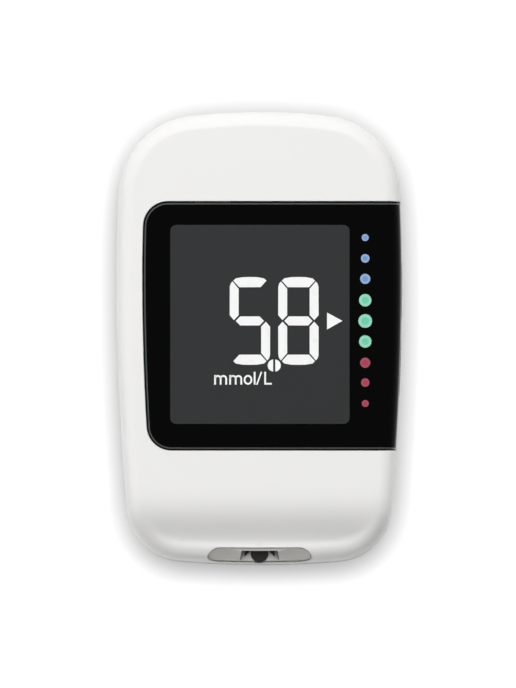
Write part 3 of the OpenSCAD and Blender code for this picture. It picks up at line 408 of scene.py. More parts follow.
def skin(form, outer, openings, fill, wall, gap=0.3, marks=()):
    """Closed shell on a form.

    outer and each opening have a wide loop, a loop at the bevel's foot and the bevel. mat is the material
    of the bevel's first half; into and reach are the way and depth of an opening's wall.
    """
    s = Sheet()
    verts, tris, loops = triangulate(outer["wide"], [o["wide"] for o in openings], list(marks), fill, gap)
    p, n = shaped(form, verts)
    top = s.add(p, n)
    inner = p - n * wall
    rims = []
    for o, ids in zip([outer] + openings, loops):
        pr, nr = shaped(form, o["loop"])
        into = np.tile(np.array(o["into"], float), (len(pr), 1)) if "into" in o else -nr
        out = pr - p[ids]
        out -= (out * nr).sum(1)[:, None] * nr
        out /= np.linalg.norm(out, axis=1)[:, None] + 1e-12
        rims.append((o, ids, s.add(pr + into * o["bevel"], out)))
        if "into" in o:
            inner[ids] = pr + into * o.get("reach", wall)
    low = s.add(inner)
    for k, t in enumerate(tris):
        mid = verts[t].mean(axis=0)[None]
        s.face([top[i] for i in t], True, 1 if any(inside(mid, m)[0] for m in marks) else 0)
        s.face([low[i] for i in t[::-1]])
    for o, ids, edge in rims:
        last = [top[i] for i in ids]
        if "mat" in o:
            way = n[ids] + [s.n[i] for i in edge]
            way /= np.linalg.norm(way, axis=1)[:, None]
            middle = s.add((p[ids] + [s.v[i] for i in edge]) / 2 + way * o["bevel"] * BULGE, way)
            s.strip(last, middle, True, o["mat"])
            last = middle
        s.strip(last, edge, True)
        s.strip(edge, [low[i] for i in ids])
    return s


def in_scene(name, data):
    """Adds an object with its data to the scene."""
    obj = bpy.data.objects.new(name, data)
    bpy.context.scene.collection.objects.link(obj)
    return obj


def piece(me, name, body, materials, replaces=()):
    """Adds a mesh as a piece that rides on a body."""
    obj = in_scene(name, me)
    for m in materials:
        me.materials.append(m)
    if replaces:
        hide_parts(*replaces)
    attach(obj, body)
    return obj


def prism(s, loop, lo, hi, axis):
    """Adds a closed bar on a loop, from lo to hi along an axis; the loop's columns are the other two axes."""
    others = [a for a in range(3) if a != axis]
    rows = []
    for level in (lo, hi):
        pts = np.zeros((len(loop), 3))
        pts[:, others] = loop
        pts[:, axis] = level
        rows.append(s.add(pts))
    s.strip(*rows)
    s.face(rows[0])
    s.face(rows[1])


def box_loop(x0, y0, x1, y1):
    """Closed loop round a rectangle between two corners."""
    return np.array([(x0, y0), (x1, y0), (x1, y1), (x0, y1)], float)


def bar(loop, lo, hi, axis):
    """Mesh of a closed bar on a loop."""
    s = Sheet()
    prism(s, loop, lo, hi, axis)
    return s.mesh("cut")


def applied(obj, name, kind, **values):
    """Gives an object's mesh one modifier, applied."""
    mod = obj.modifiers.new(name, kind)
    for key, value in values.items():
        setattr(mod, key, value)
    bpy.context.view_layer.update()
    done = bpy.data.meshes.new_from_object(obj.evaluated_get(bpy.context.evaluated_depsgraph_get()))
    obj.modifiers.remove(mod)
    obj.data = done


def carved(base, steps, bevel, angle=math.radians(28)):
    """A mesh cut by or joined with others, with its sharp edges bevelled."""
    body = in_scene("temp", base)
    for how, me in steps:
        tool = in_scene("temp", me)
        applied(body, "b", "BOOLEAN", operation=how, solver="EXACT", object=tool)
        bpy.data.objects.remove(tool)
    body.data.shade_smooth()
    body.data.set_sharp_from_angle(angle=angle)
    applied(body, "v", "BEVEL", width=bevel * MM, segments=2, limit_method="ANGLE", angle_limit=angle,
            harden_normals=True, use_clamp_overlap=True)
    me = body.data
    bpy.data.objects.remove(body)
    me.materials.clear()
    return me


# --- finishes ---
def node(tree, kind, values=(), **links):
    """Adds a shader node, with its inputs' values and with links to inputs, named with _ for a space."""
    out = tree.nodes.new("ShaderNode" + kind)
    for key, value in dict(values).items():
        out.inputs[key].default_value = value
    for key, source in links.items():
        tree.links.new(source, out.inputs[key.replace("_", " ")])
    return out


def shader_of(name, values):
    """Makes a material and gives it with its node tree and its shader."""
    mat = bpy.data.materials.new(name)
    mat.use_nodes = True
    shader = mat.node_tree.nodes["Principled BSDF"]
    for key, value in values.items():
        shader.inputs[key].default_value = value
    return mat, mat.node_tree, shader


GRAIN_DEPTH, CLOUD_SIZE = 0.02, 8  # depth of the grain in mm, and how much larger the roughness varies


def finish(name, colour, rough, metal=0.0, vary=0.05, grain=0.0, size=0.4, ior=1.5):
    """A constant colour, a roughness that varies a little and, where one is given, a fine grain."""
    mat, tree, shader = shader_of(name, {"Base Color": (*colour, 1), "Metallic": metal, "IOR": ior})
    place = node(tree, "TexCoord").outputs["Object"]
    cloud = node(tree, "TexNoise", {"Scale": 1 / (size * CLOUD_SIZE * MM), "Detail": 4}, Vector=place)
    limits = {"From Min": 0.3, "From Max": 0.7, "To Min": rough - vary, "To Max": rough + vary}
    spread = node(tree, "MapRange", limits, Value=cloud.outputs["Fac"])
    tree.links.new(spread.outputs["Result"], shader.inputs["Roughness"])
    if grain:
        fine = node(tree, "TexNoise", {"Scale": 1 / (size * MM), "Detail": 3}, Vector=place)
        depth = {"Strength": grain, "Distance": GRAIN_DEPTH * MM}
        bump = node(tree, "Bump", depth, Height=fine.outputs["Fac"])
        tree.links.new(bump.outputs["Normal"], shader.inputs["Normal"])
    return mat


def painted_occlusion_shade(mat, shade_colour, reach):
    """Paints shade into a finish: its colour darkens to the shade colour where other surfaces stand within a
    reach in mm.
    """
    tree = mat.node_tree
    colour = tree.nodes["Principled BSDF"].inputs["Base Color"]
    near = node(tree, "AmbientOcclusion", {"Distance": reach * MM})
    clear = node(tree, "MapRange", {"From Min": 0.5, "From Max": 0.95}, Value=near.outputs["AO"])
    blend = node(tree, "MixRGB", {"Color1": (*shade_colour, 1), "Color2": colour.default_value[:]},
                 Fac=clear.outputs["Result"])
    tree.links.new(blend.outputs["Color"], colour)
    return mat


white = finish("white_shell", (0.80, 0.796, 0.785), 0.34, grain=0.15, size=0.25)
black = finish("black_lens", (0.0008, 0.0008, 0.0009), 0.07, vary=0.015, ior=1.1)
# painted highlight: a grey that stands in for the light line along the inner half of the lens's bevel
bevel_highlight = finish("lens_bevel_painted_highlight", (0.07, 0.071, 0.073), 0.2, ior=1.2)
window = finish("display_window", (0.035, 0.036, 0.037), 0.09, vary=0.015, ior=1.1)
ink = finish("ink_white", (0.88, 0.88, 0.88), 0.3)
# painted shade: the bezel's colour darkens towards its rim and hollows, where the housing and its own cuts
# stand near it
grey = painted_occlusion_shade(finish("grey_bezel", (0.52, 0.502, 0.47), 0.2, grain=0.2, size=0.2), (0.16, 0.153, 0.143), 1.6)
key_black = finish("black_button", (0.010, 0.010, 0.011), 0.32, grain=0.4, size=0.12, ior=1.25)

# Finishes of the nodes that keep their own shape, and those nodes
KEPT = [
    (finish("black_foam", (0.02, 0.02, 0.02), 0.9, grain=0.9, size=0.15), ["lens_gasket"]),
    (finish("display_glass", (0.036, 0.038, 0.04), 0.06, vary=0.01), ["lcd_front_glass", "lcd_rear_glass"]),
    (finish("clear_plastic", (0.8, 0.86, 0.9), 0.12), ["light_guide"]),
    (finish("led_package", (0.9, 0.88, 0.7), 0.3), ["backlight_leds"]),
    (finish("white_insert", (0.85, 0.85, 0.83), 0.5, grain=0.3), ["display_carrier"]),
    (finish("elastomer", (0.7, 0.3, 0.35), 0.7, grain=0.3), ["zebra_strip"]),
    (finish("circuit_board", (0.02, 0.16, 0.07), 0.4, grain=0.5, size=0.3), ["main_board"]),
    (finish("black_package", (0.013, 0.013, 0.013), 0.45, grain=0.5, size=0.1, ior=1.3),
     ["microcontroller", "memory_chip", "strip_connector", "usb_tongue", "plunger_upper", "plunger_lower"]),
    (finish("tin_plate", (0.6, 0.6, 0.6), 0.34, metal=1, grain=0.25, size=0.15),
     ["wireless_module", "clock_crystal", "usb_shell"]),
    (finish("capacitor_ceramic", (0.4, 0.3, 0.18), 0.6, grain=0.3), ["chip_capacitors"]),
    (finish("gold_contact", (0.8, 0.6, 0.25), 0.25, metal=1, grain=0.15), ["strip_contacts"]),
    (finish("switch_body", (0.25, 0.25, 0.26), 0.45, grain=0.3), ["switch_upper", "switch_lower"]),
    (finish("cell_steel", (0.62, 0.63, 0.64), 0.28, metal=1, grain=0.25, size=0.2),
     ["coin_cell_left", "coin_cell_right"]),
    (finish("spring_contact", (0.62, 0.6, 0.55), 0.3, metal=1, grain=0.2),
     ["negative_contact_left", "negative_contact_right", "positive_contact_left", "positive_contact_right"]),
    (finish("screw_steel", (0.2, 0.2, 0.21), 0.33, metal=1, grain=0.25, size=0.12), ["housing_screws"]),
    (finish("blank_plate", (0.62, 0.63, 0.64), 0.45, grain=0.3), ["rating_plate"]),
]
for mat, names in KEPT:
    for name in names:
        nodes[name].data.materials.clear()
        nodes[name].data.materials.append(mat)


# --- front shell ---
def side_t(y, inset):
    """Lengths down the outline where the right side, moved in by inset, is at heights y in plan."""
    y = np.atleast_1d(np.asarray(y, float))
    return bisect(lambda t: y - plan(t, inset)[:, 1], np.zeros(len(y)), np.full(len(y), HALF))


def edge_down(y, low_z, share):
    """Unrolled points where the plane at y cuts the right side, from the crest (0) down to low_z (1)."""
    t = bisect(lambda t: y - front.edge(t, share * front.reach(t, low_z))[:, 1],
               np.zeros(len(share)), np.full(len(share), HALF))
    return plan(t, front.roll(t)[2] - share * front.reach(t, low_z)), t


def lens_loop(grow, low_z):
    """Unrolled outline of the lens: parallel to the left side, over the right edge and down to low_z."""
    r, hi, lo = LENS_R + grow, LENS_TOP + grow, LENS_BOTTOM - grow
    ys = np.linspace(lo + r, hi - r, 26)
    left = plan(side_t(ys, LENS_SIDE - grow), LENS_SIDE - grow) * (-1, 1)
    a = np.linspace(0, math.pi / 2, 15)[1:]
    up = np.stack([left[-1, 0] + r * (1 - np.cos(a)), hi - r * (1 - np.sin(a))], -1)
    down = np.stack([left[0, 0] + r * (1 - np.cos(a)), lo + r * (1 - np.sin(a))], -1)
    share = np.linspace(0, 1, 15)
    top_edge, t = edge_down(hi, low_z, share)
    low_edge, b = edge_down(lo, low_z, share)
    across_top = np.linspace(up[-1], top_edge[0], 24)[1:-1]
    across_low = np.linspace(down[-1], low_edge[0], 24)[1:-1]
    ts = np.linspace(t[-1], b[-1], 34)[1:-1]
    skirt = plan(ts, front.roll(ts)[2] - front.reach(ts, low_z))
    return np.concatenate([left, up, across_top, top_edge, skirt,
                           low_edge[::-1], across_low[::-1], down[::-1]])


def grid(x0, x1, y0, y1, dx, dy):
    """Points in rows, dx and dy apart."""
    xs, ys = np.meshgrid(np.arange(x0, x1 + 1e-6, dx), np.arange(y0, y1 + 1e-6, dy))
    return np.stack([xs.ravel(), ys.ravel()], -1)


ROLL_SHARES = (0.0, 0.1, 0.22, 0.35, 0.48, 0.61, 0.74, 0.87, 1.0)
SIDE_SHARES = (0.2, 0.4, 0.6, 0.8)


def roll_fill(form, low_z):
    """Rows of points along a rolled edge and its side."""
    t = (STEPS[:-1] + STEPS[1:]) / 2
    t = np.sort(np.concatenate([t, STEPS[1:-1]]))
    w, h, e0 = form.roll(t)
    length = quarter(w, h)
    total = form.reach(t, low_z)
    rows = [plan(t, e0 - length * share) for share in ROLL_SHARES] + [
        plan(t, e0 - length - (total - length) * share) for share in SIDE_SHARES]
    pts = np.concatenate(rows)
    return np.concatenate([pts, pts * (-1, 1)])


def face_fill(form, margin=0.5):
    """Points over the face, closer together over the chin."""
    pts = np.concatenate([grid(-21, 21, -23, 36, 1.75, 1.75), grid(-21, 21, -37, -23.5, 1.5, 0.75)])
    _, t, inset = locate(pts)
    return pts[inset > form.roll(t)[2] + margin]


front_fill = np.concatenate([face_fill(front), roll_fill(front, PARTING_Z)])
front_end = front.reach(STEPS, PARTING_Z)
NOSE_CREST_Y = SIDE_DRAFT + NOSE_ROLL[0] - HL
PORT_AT = np.array([0, NOSE_CREST_Y - NOSE_ROLL[0] * math.sin(LEAN),
                    face_z(0.0, NOSE_CREST_Y) - NOSE_ROLL[1] * (1 - math.cos(LEAN))])
PORT_OUT = np.array([0, -math.cos(LEAN), math.sin(LEAN)])
PORT_UP = np.array([0, math.sin(LEAN), math.cos(LEAN)])
ACROSS, ALONG, UPWARD = (1, 0, 0), (0, 1, 0), (0, 0, 1)


def port_loop(w, h, form=front):
    """Unrolled outline of the strip port, from its outline seen along its leaning axis."""
    flat = stadium(w, h)
    middle = NOSE_CREST_Y - quarter(*NOSE_ROLL) / 2
    return newton(form, flat + (0, PORT_AT @ PORT_UP), [ACROSS, PORT_UP], flat * (1, 0.9) + (0, middle))


def usb_loop(grow):
    """Unrolled outline of the USB opening, from its outline seen along Y."""
    goal = rounded_rect(USB_W / 2 + grow, USB_H / 2 + grow, USB_R + grow, 0, USB_Z)
    t = np.zeros(len(goal))
    guess = plan(t, front.roll(t)[2] - front.reach(t, goal[:, 1])) + goal * (1, 0)
    return newton(front, goal, [ACROSS, UPWARD], guess)


def on_side(goal):
    """Unrolled points of the right side at places across Y and Z."""
    t = side_t(goal[:, 0], 0.1)
    return newton(front, goal, [ALONG, UPWARD], plan(t, front.roll(t)[2] - front.reach(t, goal[:, 1])))


def key_loop(y, grow):
    """Unrolled outline of a button's hole, from its outline seen along X."""
    return on_side(stadium(BUTTON_L + 2 * grow, BUTTON_H + 2 * grow, y, BUTTON_Z))


def opening(make, bevel, **more):
    """An opening's wide loop and its loop, from a function of how far they grow."""
    return dict(wide=make(bevel), loop=make(0), bevel=bevel, **more)


openings = [opening(lambda grow: lens_loop(LENS_GAP + grow, SKIRT_Z - grow), EDGE),
            opening(lambda grow: port_loop(PORT_W + 2 * grow, PORT_H + 2 * grow), EDGE,
                    into=-PORT_OUT, reach=PORT_WALL),
            opening(usb_loop, EDGE, into=(0, -1, 0))]
rim = opening(lambda grow: ring(front, front_end - grow), EDGE)
shell = skin(front, rim, openings, front_fill, WALL)
piece(shell.mesh("front_shell"), "front_shell", "case", [white], ["front_housing"])

# --- lens, with its window ---
WINDOW_HX, WINDOW_HY, WINDOW_R, WINDOW_X, WINDOW_Y = 15.15, 16.82, 1.0, 0.05, 2.32
LENS_LOW = SKIRT_Z + LENS_GAP
# mat=2 gives the bevel's first half the painted-highlight grey
cover_loops = opening(lambda grow: lens_loop(-grow, LENS_LOW + grow), LENS_EDGE, mat=2)
key_holes = [opening(lambda grow: key_loop(y, BUTTON_GAP + grow), SMALL_EDGE, into=(-1, 0, 0), reach=LENS_T)
             for y in BUTTON_YS]
cover = skin(front, cover_loops, key_holes, front_fill, LENS_T, gap=0.2,
             marks=[rounded_rect(WINDOW_HX, WINDOW_HY, WINDOW_R, WINDOW_X, WINDOW_Y, n=6, m=10)])
piece(cover.mesh("lens_cover"), "lens_cover", "case", [black, window, bevel_highlight],
      ["display_lens"])


# --- what the display and the lens show ---
PRINT_DEPTH, PRINT_RISE, CENTRE_RISE = 0.05, 0.015, 0.025


def printed(name, shapes, mat, rise=PRINT_RISE):
    """Flat marks in the lens's surface, each a closed thin plate."""
    s = Sheet()
    for q in shapes:
        p, n = shaped(front, q)
        top, low = s.add(p + n * rise, n), s.add(p - n * PRINT_DEPTH)
        s.face(top, True)
        s.face(low[::-1])
        s.strip(top, low)
    piece(s.mesh(name), name, "case", [mat])


# Outlines of a digit's top, upper left and middle segments
UP = [(-2.81, 6.81), (-2.38, 7.2), (-1.25, 7.4), (0, 7.43), (1.25, 7.4), (2.38, 7.2), (2.81, 6.81),
      (1.8, 5.7), (-1.8, 5.7)]
LEFT = [(-2.95, 6.68), (-3.24, 6.33), (-3.4, 5.8), (-3.42, 0.98), (-2.69, 0.13), (-1.9, 0.98), (-1.9, 5.43)]
MIDDLE = [(-2.38, 0), (-1.64, 0.77), (1.64, 0.77), (2.38, 0), (1.64, -0.77), (-1.64, -0.77)]


def segments(which, cx, cy):
    """Segments of a digit, named a to g."""
    shapes = dict(a=(UP, 1, 1), b=(LEFT, -1, 1), c=(LEFT, -1, -1), d=(UP, 1, -1), e=(LEFT, 1, -1),
                  f=(LEFT, 1, 1), g=(MIDDLE, 1, 1))
    return [np.array(shapes[k][0]) * shapes[k][1:] + (cx, cy) for k in which]


def half_disc(cx, cy, r, gap, side):
    """Half of a disc, cut short by a gap at both ends and moved out by it."""
    cut = np.arcsin(gap / r)
    a = cut + np.linspace(0, math.pi - 2 * cut, 16) - math.pi / 2
    return np.stack([cx + side * (np.sqrt(r * r - (r * np.sin(a)) ** 2) + gap), cy + r * np.sin(a)], -1)


ROW_Y, TENS_X, UNITS_X = 2.9, -1.64, 6.56  # middles of the reading and of its two digits
POINT_X, POINT_Y, POINT_R, POINT_GAP = 2.47, -4.63, 1.02, 0.09
POINTER = [(11.4, 4.32), (11.4, 1.46), (14.0, 2.9)]
printed("reading_digits", segments("afgcd", TENS_X, ROW_Y) + segments("abcdefg", UNITS_X, ROW_Y), ink)
printed("reading_point", [half_disc(POINT_X, POINT_Y, POINT_R, POINT_GAP, side) for side in (-1, 1)], ink)
printed("range_pointer", [np.array(POINTER)], ink)


def stroke(pts, w):
    """A ribbon of a width along a line."""
    pts = np.array(pts, float)
    d = np.gradient(pts, axis=0)
    d /= np.linalg.norm(d, axis=1)[:, None]
    n = np.stack([-d[:, 1], d[:, 0]], -1) * w / 2
    return np.concatenate([pts + n, (pts - n)[::-1]])


UNIT_X, UNIT_Y = -7.68, -7.87  # left end and baseline of the unit
STROKE, SLASH = 0.3, 0.24  # stroke widths
SMALL, TALL = 1.62, 2.17  # heights of the small and the tall letters
ARCH, SPRING = 0.47, 0.62  # radius of an arch of the m, and how far below SMALL it springs
M_XS, O_X, O_Y, O_HW, O_HH = (0.0, 2.55), 5.72, 0.81, 0.58, 0.68
L_X, SLASH_XS, CAP_X, CAP_TO = 6.84, (7.2, 8.0), 8.62, 9.75


def unit_marks():
    """The unit, millimoles per litre, in thin strokes from its left end and baseline."""
    out = []
    a = np.linspace(0, math.pi, 13)
    for start in M_XS:
        left = start + STROKE / 2
        out.append(stroke([(left, 0), (left, SMALL)], STROKE))
        for x in (left, left + 2 * ARCH):
            top = np.stack([x + ARCH - ARCH * np.cos(a), SMALL - SPRING + ARCH * np.sin(a)], -1)
            out.append(stroke(np.concatenate([top, [(x + 2 * ARCH, 0)]]), STROKE))
    o = np.linspace(0, 2 * math.pi, 33)
    for part in (o[:17], o[16:]):
        out.append(stroke(np.stack([O_X + O_HW * np.cos(part), O_Y + O_HH * np.sin(part)], -1), STROKE))
    out.append(stroke([(L_X, 0), (L_X, TALL)], STROKE))
    out.append(stroke([(SLASH_XS[0], -0.02), (SLASH_XS[1], TALL)], SLASH))
    out.append(stroke([(CAP_X, 0), (CAP_X, TALL)], STROKE))
    out.append(stroke([(CAP_X - 0.02, STROKE / 2), (CAP_TO, STROKE / 2)], STROKE))
    return [marks + (UNIT_X, UNIT_Y) for marks in out]


printed("reading_unit", unit_marks(), ink)

# Range dots: hue, heights, sizes, colour of the ring and colour of the centre
DOTS = [("blue", (16.99, 13.48, 10.02), (1.18, 1.46, 1.72), (0.26, 0.38, 0.62), (0.15, 0.29, 0.50)),
        ("green", (6.40, 2.89, -0.58), (2.1, 2.32, 2.1), (0.27, 0.63, 0.46), (0.15, 0.55, 0.38)),
        ("red", (-4.17, -7.52, -11.06), (1.72, 1.42, 1.18), (0.31, 0.05, 0.085), (0.33, 0.024, 0.055))]
DOT_X, DOT_CENTRE, DOT_ROUGH = 17.86, 0.28, 0.25
for hue, ys, sizes, ring_colour, centre_colour in DOTS:
    printed("range_dots_" + hue, [circle(DOT_X, y, d / 2) for y, d in zip(ys, sizes)],
            finish("dot_" + hue, ring_colour, DOT_ROUGH))
    printed("range_dot_centres_" + hue, [circle(DOT_X, y, d * DOT_CENTRE) for y, d in zip(ys, sizes)],
            finish("dot_centre_" + hue, centre_colour, DOT_ROUGH), CENTRE_RISE)


# --- strip port ---
class Inset(Front):
    """The front's outer face, moved in by the bezel's recess."""

    def __call__(self, q):
        p, n = shaped(front, q)
        return p - n * BEZEL_RECESS


def bezel_mesh():
    """The bezel's block, before its cuts: the recessed front and a flat leaning back."""
    form, s = Inset(), Sheet()
    loop = port_loop(PORT_W - 2 * FIT, PORT_H - 2 * FIT, form)
    lo, hi = loop.min(axis=0), loop.max(axis=0)
    fill = grid(lo[0], hi[0], lo[1], hi[1], BEZEL_GRID, BEZEL_GRID)
    verts, tris, ids = triangulate(loop, [], [], fill, BEZEL_GRID / 2)
    p = form(verts)
    top = s.add(p)
    for t in tris:
        s.face([top[i] for i in t])
    rim = p[ids[0]]
    back = s.add(rim - PORT_OUT * ((rim - PORT_AT) @ PORT_OUT + BEZEL_T)[:, None])
    s.strip([top[i] for i in ids[0]], back)
    s.face(back)
    return s.mesh("bezel")


def built(build):
    """Mesh of what a function adds to a bmesh."""
    me, bm = bpy.data.meshes.new("cut"), bmesh.new()
    build(bm)
    bm.to_mesh(me)
    bm.free()
    return me


def ball(middle, r):
    """Mesh of a ball."""
    def build(bm):
        bmesh.ops.create_uvsphere(bm, u_segments=96, v_segments=48, radius=r * MM)
        bmesh.ops.translate(bm, verts=bm.verts, vec=[c * MM for c in middle])
    return built(build)


def hull(points):
    """Mesh of the hull round points."""
    def build(bm):
        for p in points:
            bm.verts.new([c * MM for c in p])
        bmesh.ops.convex_hull(bm, input=bm.verts)
    return built(build)


near_y, bezel_back, tray_y = -HL - PAST, BEZEL_DEPTH - HL, TRAY_FROM_END - HL
slot_low, slot_top = SLOT_Z - SLOT_H / 2, SLOT_Z + SLOT_H / 2
mouth = [(x, y, z) for x in (-MOUTH_W / 2, MOUTH_W / 2) for y in (near_y, 2 * SLACK - HL)
         for z in (slot_low - SLACK, slot_low + MOUTH_H)]
mouth += [(x, y, z) for x in (-SLOT_W / 2, SLOT_W / 2)
          for y in (bezel_back - MOUTH_END, bezel_back - MOUTH_END + 2 * SLACK) for z in (slot_low, slot_top)]
tray_half, shoulder_y = TRAY_W / 2 + SLACK, tray_y - TRAY_NECK - SLACK
shoulders = np.array([(-tray_half, bezel_back + PAST), (-tray_half, shoulder_y), (0, shoulder_y + tray_half),
                      (tray_half, shoulder_y), (tray_half, bezel_back + PAST)])
tray = [circle(0, tray_y, TRAY_R + SLACK, 48), shoulders,
        box_loop(-TRAY_R - SLACK, tray_y, TRAY_R + SLACK, bezel_back + PAST)]
cuts = [bar(box_loop(-PORT_W, near_y, PORT_W, 0), 0, PARTING_Z + FIT, 2),
        bar(box_loop(-PORT_W, bezel_back, PORT_W, 0), 0, BODY_H, 2)]
cuts += [ball(PORT_AT + (side * DISH_X, 0, 0) + PORT_OUT * (DISH_R - DISH_DEPTH), DISH_R) for side in (-1, 1)]
slot = box_loop(-SLOT_W / 2, slot_low, SLOT_W / 2, slot_top)
cuts += [hull(mouth), bar(slot, near_y, bezel_back + PAST, 1)]
cuts += [bar(loop, slot_low - TRAY_T - SLACK, slot_low + SLACK, 2) for loop in tray]
piece(carved(bezel_mesh(), [("DIFFERENCE", cut) for cut in cuts], BEZEL_BEVEL), "port_bezel", "case",
      [grey], ["strip_port_bezel"])


# --- buttons ---
def key_cap(s, y):
    """Adds a button's stem and its cap, whose face follows the side."""
    straight = (BUTTON_L - BUTTON_H) / 2
    rows = []
    for turn in np.linspace(0, math.pi / 2, CAP_ROWS):
        shrink = 2 * CAP_R * (1 - math.cos(turn))
        loop = stadium(BUTTON_L - shrink, BUTTON_H - shrink, y, BUTTON_Z)
        out = loop - (y, BUTTON_Z)
        out[:, 0] -= np.clip(out[:, 0], -straight, straight)
        out /= np.linalg.norm(out, axis=1)[:, None]
        x = front(on_side(loop))[:, 0] + BUTTON_PROUD - CAP_R * CAP_FALL * (1 - math.sin(turn))
        way = np.column_stack([np.full(len(loop), math.sin(turn)), out * math.cos(turn)])
        rows.append(s.add(np.column_stack([x, loop]), way))
    foot = stadium(BUTTON_L, BUTTON_H, y, BUTTON_Z)
    root = s.add(np.column_stack([np.full(len(foot), BUTTON_ROOT), foot]))
    s.strip(root, rows[0])
    s.face(root)
    for a, b in zip(rows, rows[1:]):
        s.strip(a, b, True)
    s.face(rows[-1], True)


for label, y, body in zip(("upper", "lower"), BUTTON_YS, ("upper_key", "lower_key")):
    s = Sheet()
    key_cap(s, y)
    half_l, half_h = BUTTON_L / 2 + FLANGE_L, BUTTON_H / 2 + FLANGE_H
    prism(s, box_loop(y - half_l, BUTTON_Z - half_h, y + half_l, BUTTON_Z + half_h),
          BUTTON_ROOT, BUTTON_ROOT + FLANGE_T, 0)
    piece(s.mesh("key_" + label), "key_" + label, body, [key_black], ["button_" + label])

# --- rear shell ---
scoop_ends = [np.stack([np.full(30, side * x), np.linspace(5.4, SCOOP_TOP, 30)], -1)
              for side in (-1, 1) for x in np.linspace(SCOOP_HX - SCOOP_BLEND, SCOOP_HX + SCOOP_BLEND, 5)]
rear_fill = np.concatenate([face_fill(rear), roll_fill(rear, PARTING_Z),
                            grid(-6, 6, 5.6, SCOOP_TOP, 0.4, 0.28), *scoop_ends])
rear_end = rear.reach(STEPS, PARTING_Z)


def door_loop(grow, **counts):
    """Outline of the door's opening, grown."""
    return rounded_rect(DOOR_HX + grow, DOOR_HY + grow, DOOR_R + grow, 0, DOOR_Y, **counts)


def plate_loop(grow):
    """Outline of the rating plate's recess, grown."""
    return rounded_rect(PLATE_W / 2 + grow, PLATE_L / 2 + grow, PLATE_R + grow, 0, PLATE_Y)


openings = [opening(lambda grow: door_loop(grow, n=16, m=20), EDGE, into=UPWARD)]
openings += [opening(lambda grow: circle(x, y, HEAD_R + grow, 36), SMALL_EDGE, into=UPWARD)
             for x, y in SCREWS]
openings.append(opening(plate_loop, PLATE_EDGE, into=UPWARD))
rim = opening(lambda grow: ring(rear, rear_end - grow), EDGE)
base = skin(rear, rim, openings, rear_fill, WALL)
piece(base.mesh("rear_shell"), "rear_shell", "case", [white], ["rear_housing"])

# Floors of the recesses, the screw posts and the cell bay
s = Sheet()
prism(s, plate_loop(PLATE_LAP), PLATE_RECESS, WALL + PLATE_IN, 2)
for x, y in SCREWS:
    prism(s, circle(x, y, HEAD_R + POST_WALL, 36), HEAD_RECESS, HEAD_RECESS + POST_T, 2)
piece(s.mesh("rear_recess_floors"), "rear_recess_floors", "case", [white], ["rear_housing"])
low_y, latch_y = DOOR_Y - DOOR_HY, DOOR_Y + DOOR_HY
steps = [("DIFFERENCE", bar(circle(x, DOOR_Y, CELL_R, 96), 0, CELL_TOP, 2)) for x in (-CELL_X, CELL_X)]
for at_y, (half, y0, y1, top) in ((low_y, HOOK_WELL), (latch_y, LATCH_WELL)):
    steps.append(("DIFFERENCE", bar(box_loop(-half, at_y + y0, half, at_y + y1), 0, top, 2)))
bay = bar(door_loop(BAY_WALL, n=16), DOOR_T + FIT, CELL_TOP + BAY_ROOF, 2)
piece(carved(bay, steps, BAY_BEVEL), "cell_bay", "case", [white], ["rear_housing"])

# --- battery door ---
hinge_y, root_y, root_z = low_y + DOOR_GAP, low_y + HOOK_ROOT, DOOR_T - DOOR_ROOT
steps = []
for x in (-HOOK_X, HOOK_X):
    for y, z in ((hinge_y, root_z), (hinge_y - HOOK_REACH, HOOK_LOW)):
        steps.append(("UNION", bar(box_loop(x - HOOK_HW, y, x + HOOK_HW, root_y), z, HOOK_TOP, 2)))
latch = box_loop(-LATCH_HW, latch_y - LATCH_FROM, LATCH_HW, latch_y - LATCH_TO)
steps.append(("UNION", bar(latch, root_z, LATCH_TOP, 2)))
for x in (-SPLIT_X, SPLIT_X):
    split = box_loop(x - SPLIT_HW, latch_y - SPLIT_L, x + SPLIT_HW, latch_y + PAST)
    steps.append(("DIFFERENCE", bar(split, -PAST, DOOR_T + PAST, 2)))
for k in range(GRIP_COUNT):
    y = latch_y - GRIP_FROM - GRIP_PITCH * k
    groove = box_loop(-GRIP_HX, y - GRIP_HW, GRIP_HX, y + GRIP_HW)
    steps.append(("DIFFERENCE", bar(groove, -PAST, GRIP_DEPTH, 2)))
plate = bar(door_loop(-DOOR_GAP, n=20, m=6), 0, DOOR_T, 2)
piece(carved(plate, steps, DOOR_BEVEL), "door_panel", "door", [white], ["battery_door"])


# --- stage: floor, light and camera, in metres ---
# The floor's half width, its height, the width of the painted shadow round the part, and how far out it fades
# to white
FLOOR_HALF, FLOOR_Z, PAINTED_SHADOW_WIDTH, FLOOR_FADE = 6.0, -0.04 * MM, 4.9 * MM, (0.12, 0.4)
FLOOR_SEEN, FLOOR_LIT, FLOOR_GLOW = (0.25, 0.25, 0.25, 1), (0.75, 0.75, 0.75, 1), 0.84
# The room's light by height, from the horizon up, and its share on the near and the far side
ROOM = ((0.0, 1.0), (0.12, 0.9), (0.3, 0.25), (0.6, 0.06), (0.85, 0.01))
ROOM_NEAR_FAR = (0.75, 0.3)
KEY_FAR, KEY_TILT, LAMP_AIM = 3.0, math.radians(62), (0, 0, 0.01)


def lamp(name, place, size, power):
    """Adds a rectangular lamp that points at the part and isn't mirrored in it."""
    data = bpy.data.lights.new(name, "AREA")
    data.shape, data.size, data.size_y, data.energy = "RECTANGLE", *size, power
    obj = in_scene(name, data)
    obj.location = place
    obj.rotation_euler = (Vector(LAMP_AIM) - Vector(place)).to_track_quat("-Z", "Y").to_euler()
    obj.visible_glossy = False


def background_rays(tree):
    """1 for rays that see the background: from the camera, off a gloss or through glass. 0 for others."""
    path = node(tree, "LightPath").outputs
    seen = path["Is Camera Ray"]
    for kind in ("Is Glossy Ray", "Is Transmission Ray"):
        either = tree.nodes.new("ShaderNodeMath")
        either.operation = "MAXIMUM"
        tree.links.new(seen, either.inputs[0])
        tree.links.new(path[kind], either.inputs[1])
        seen = either.outputs[0]
    return seen


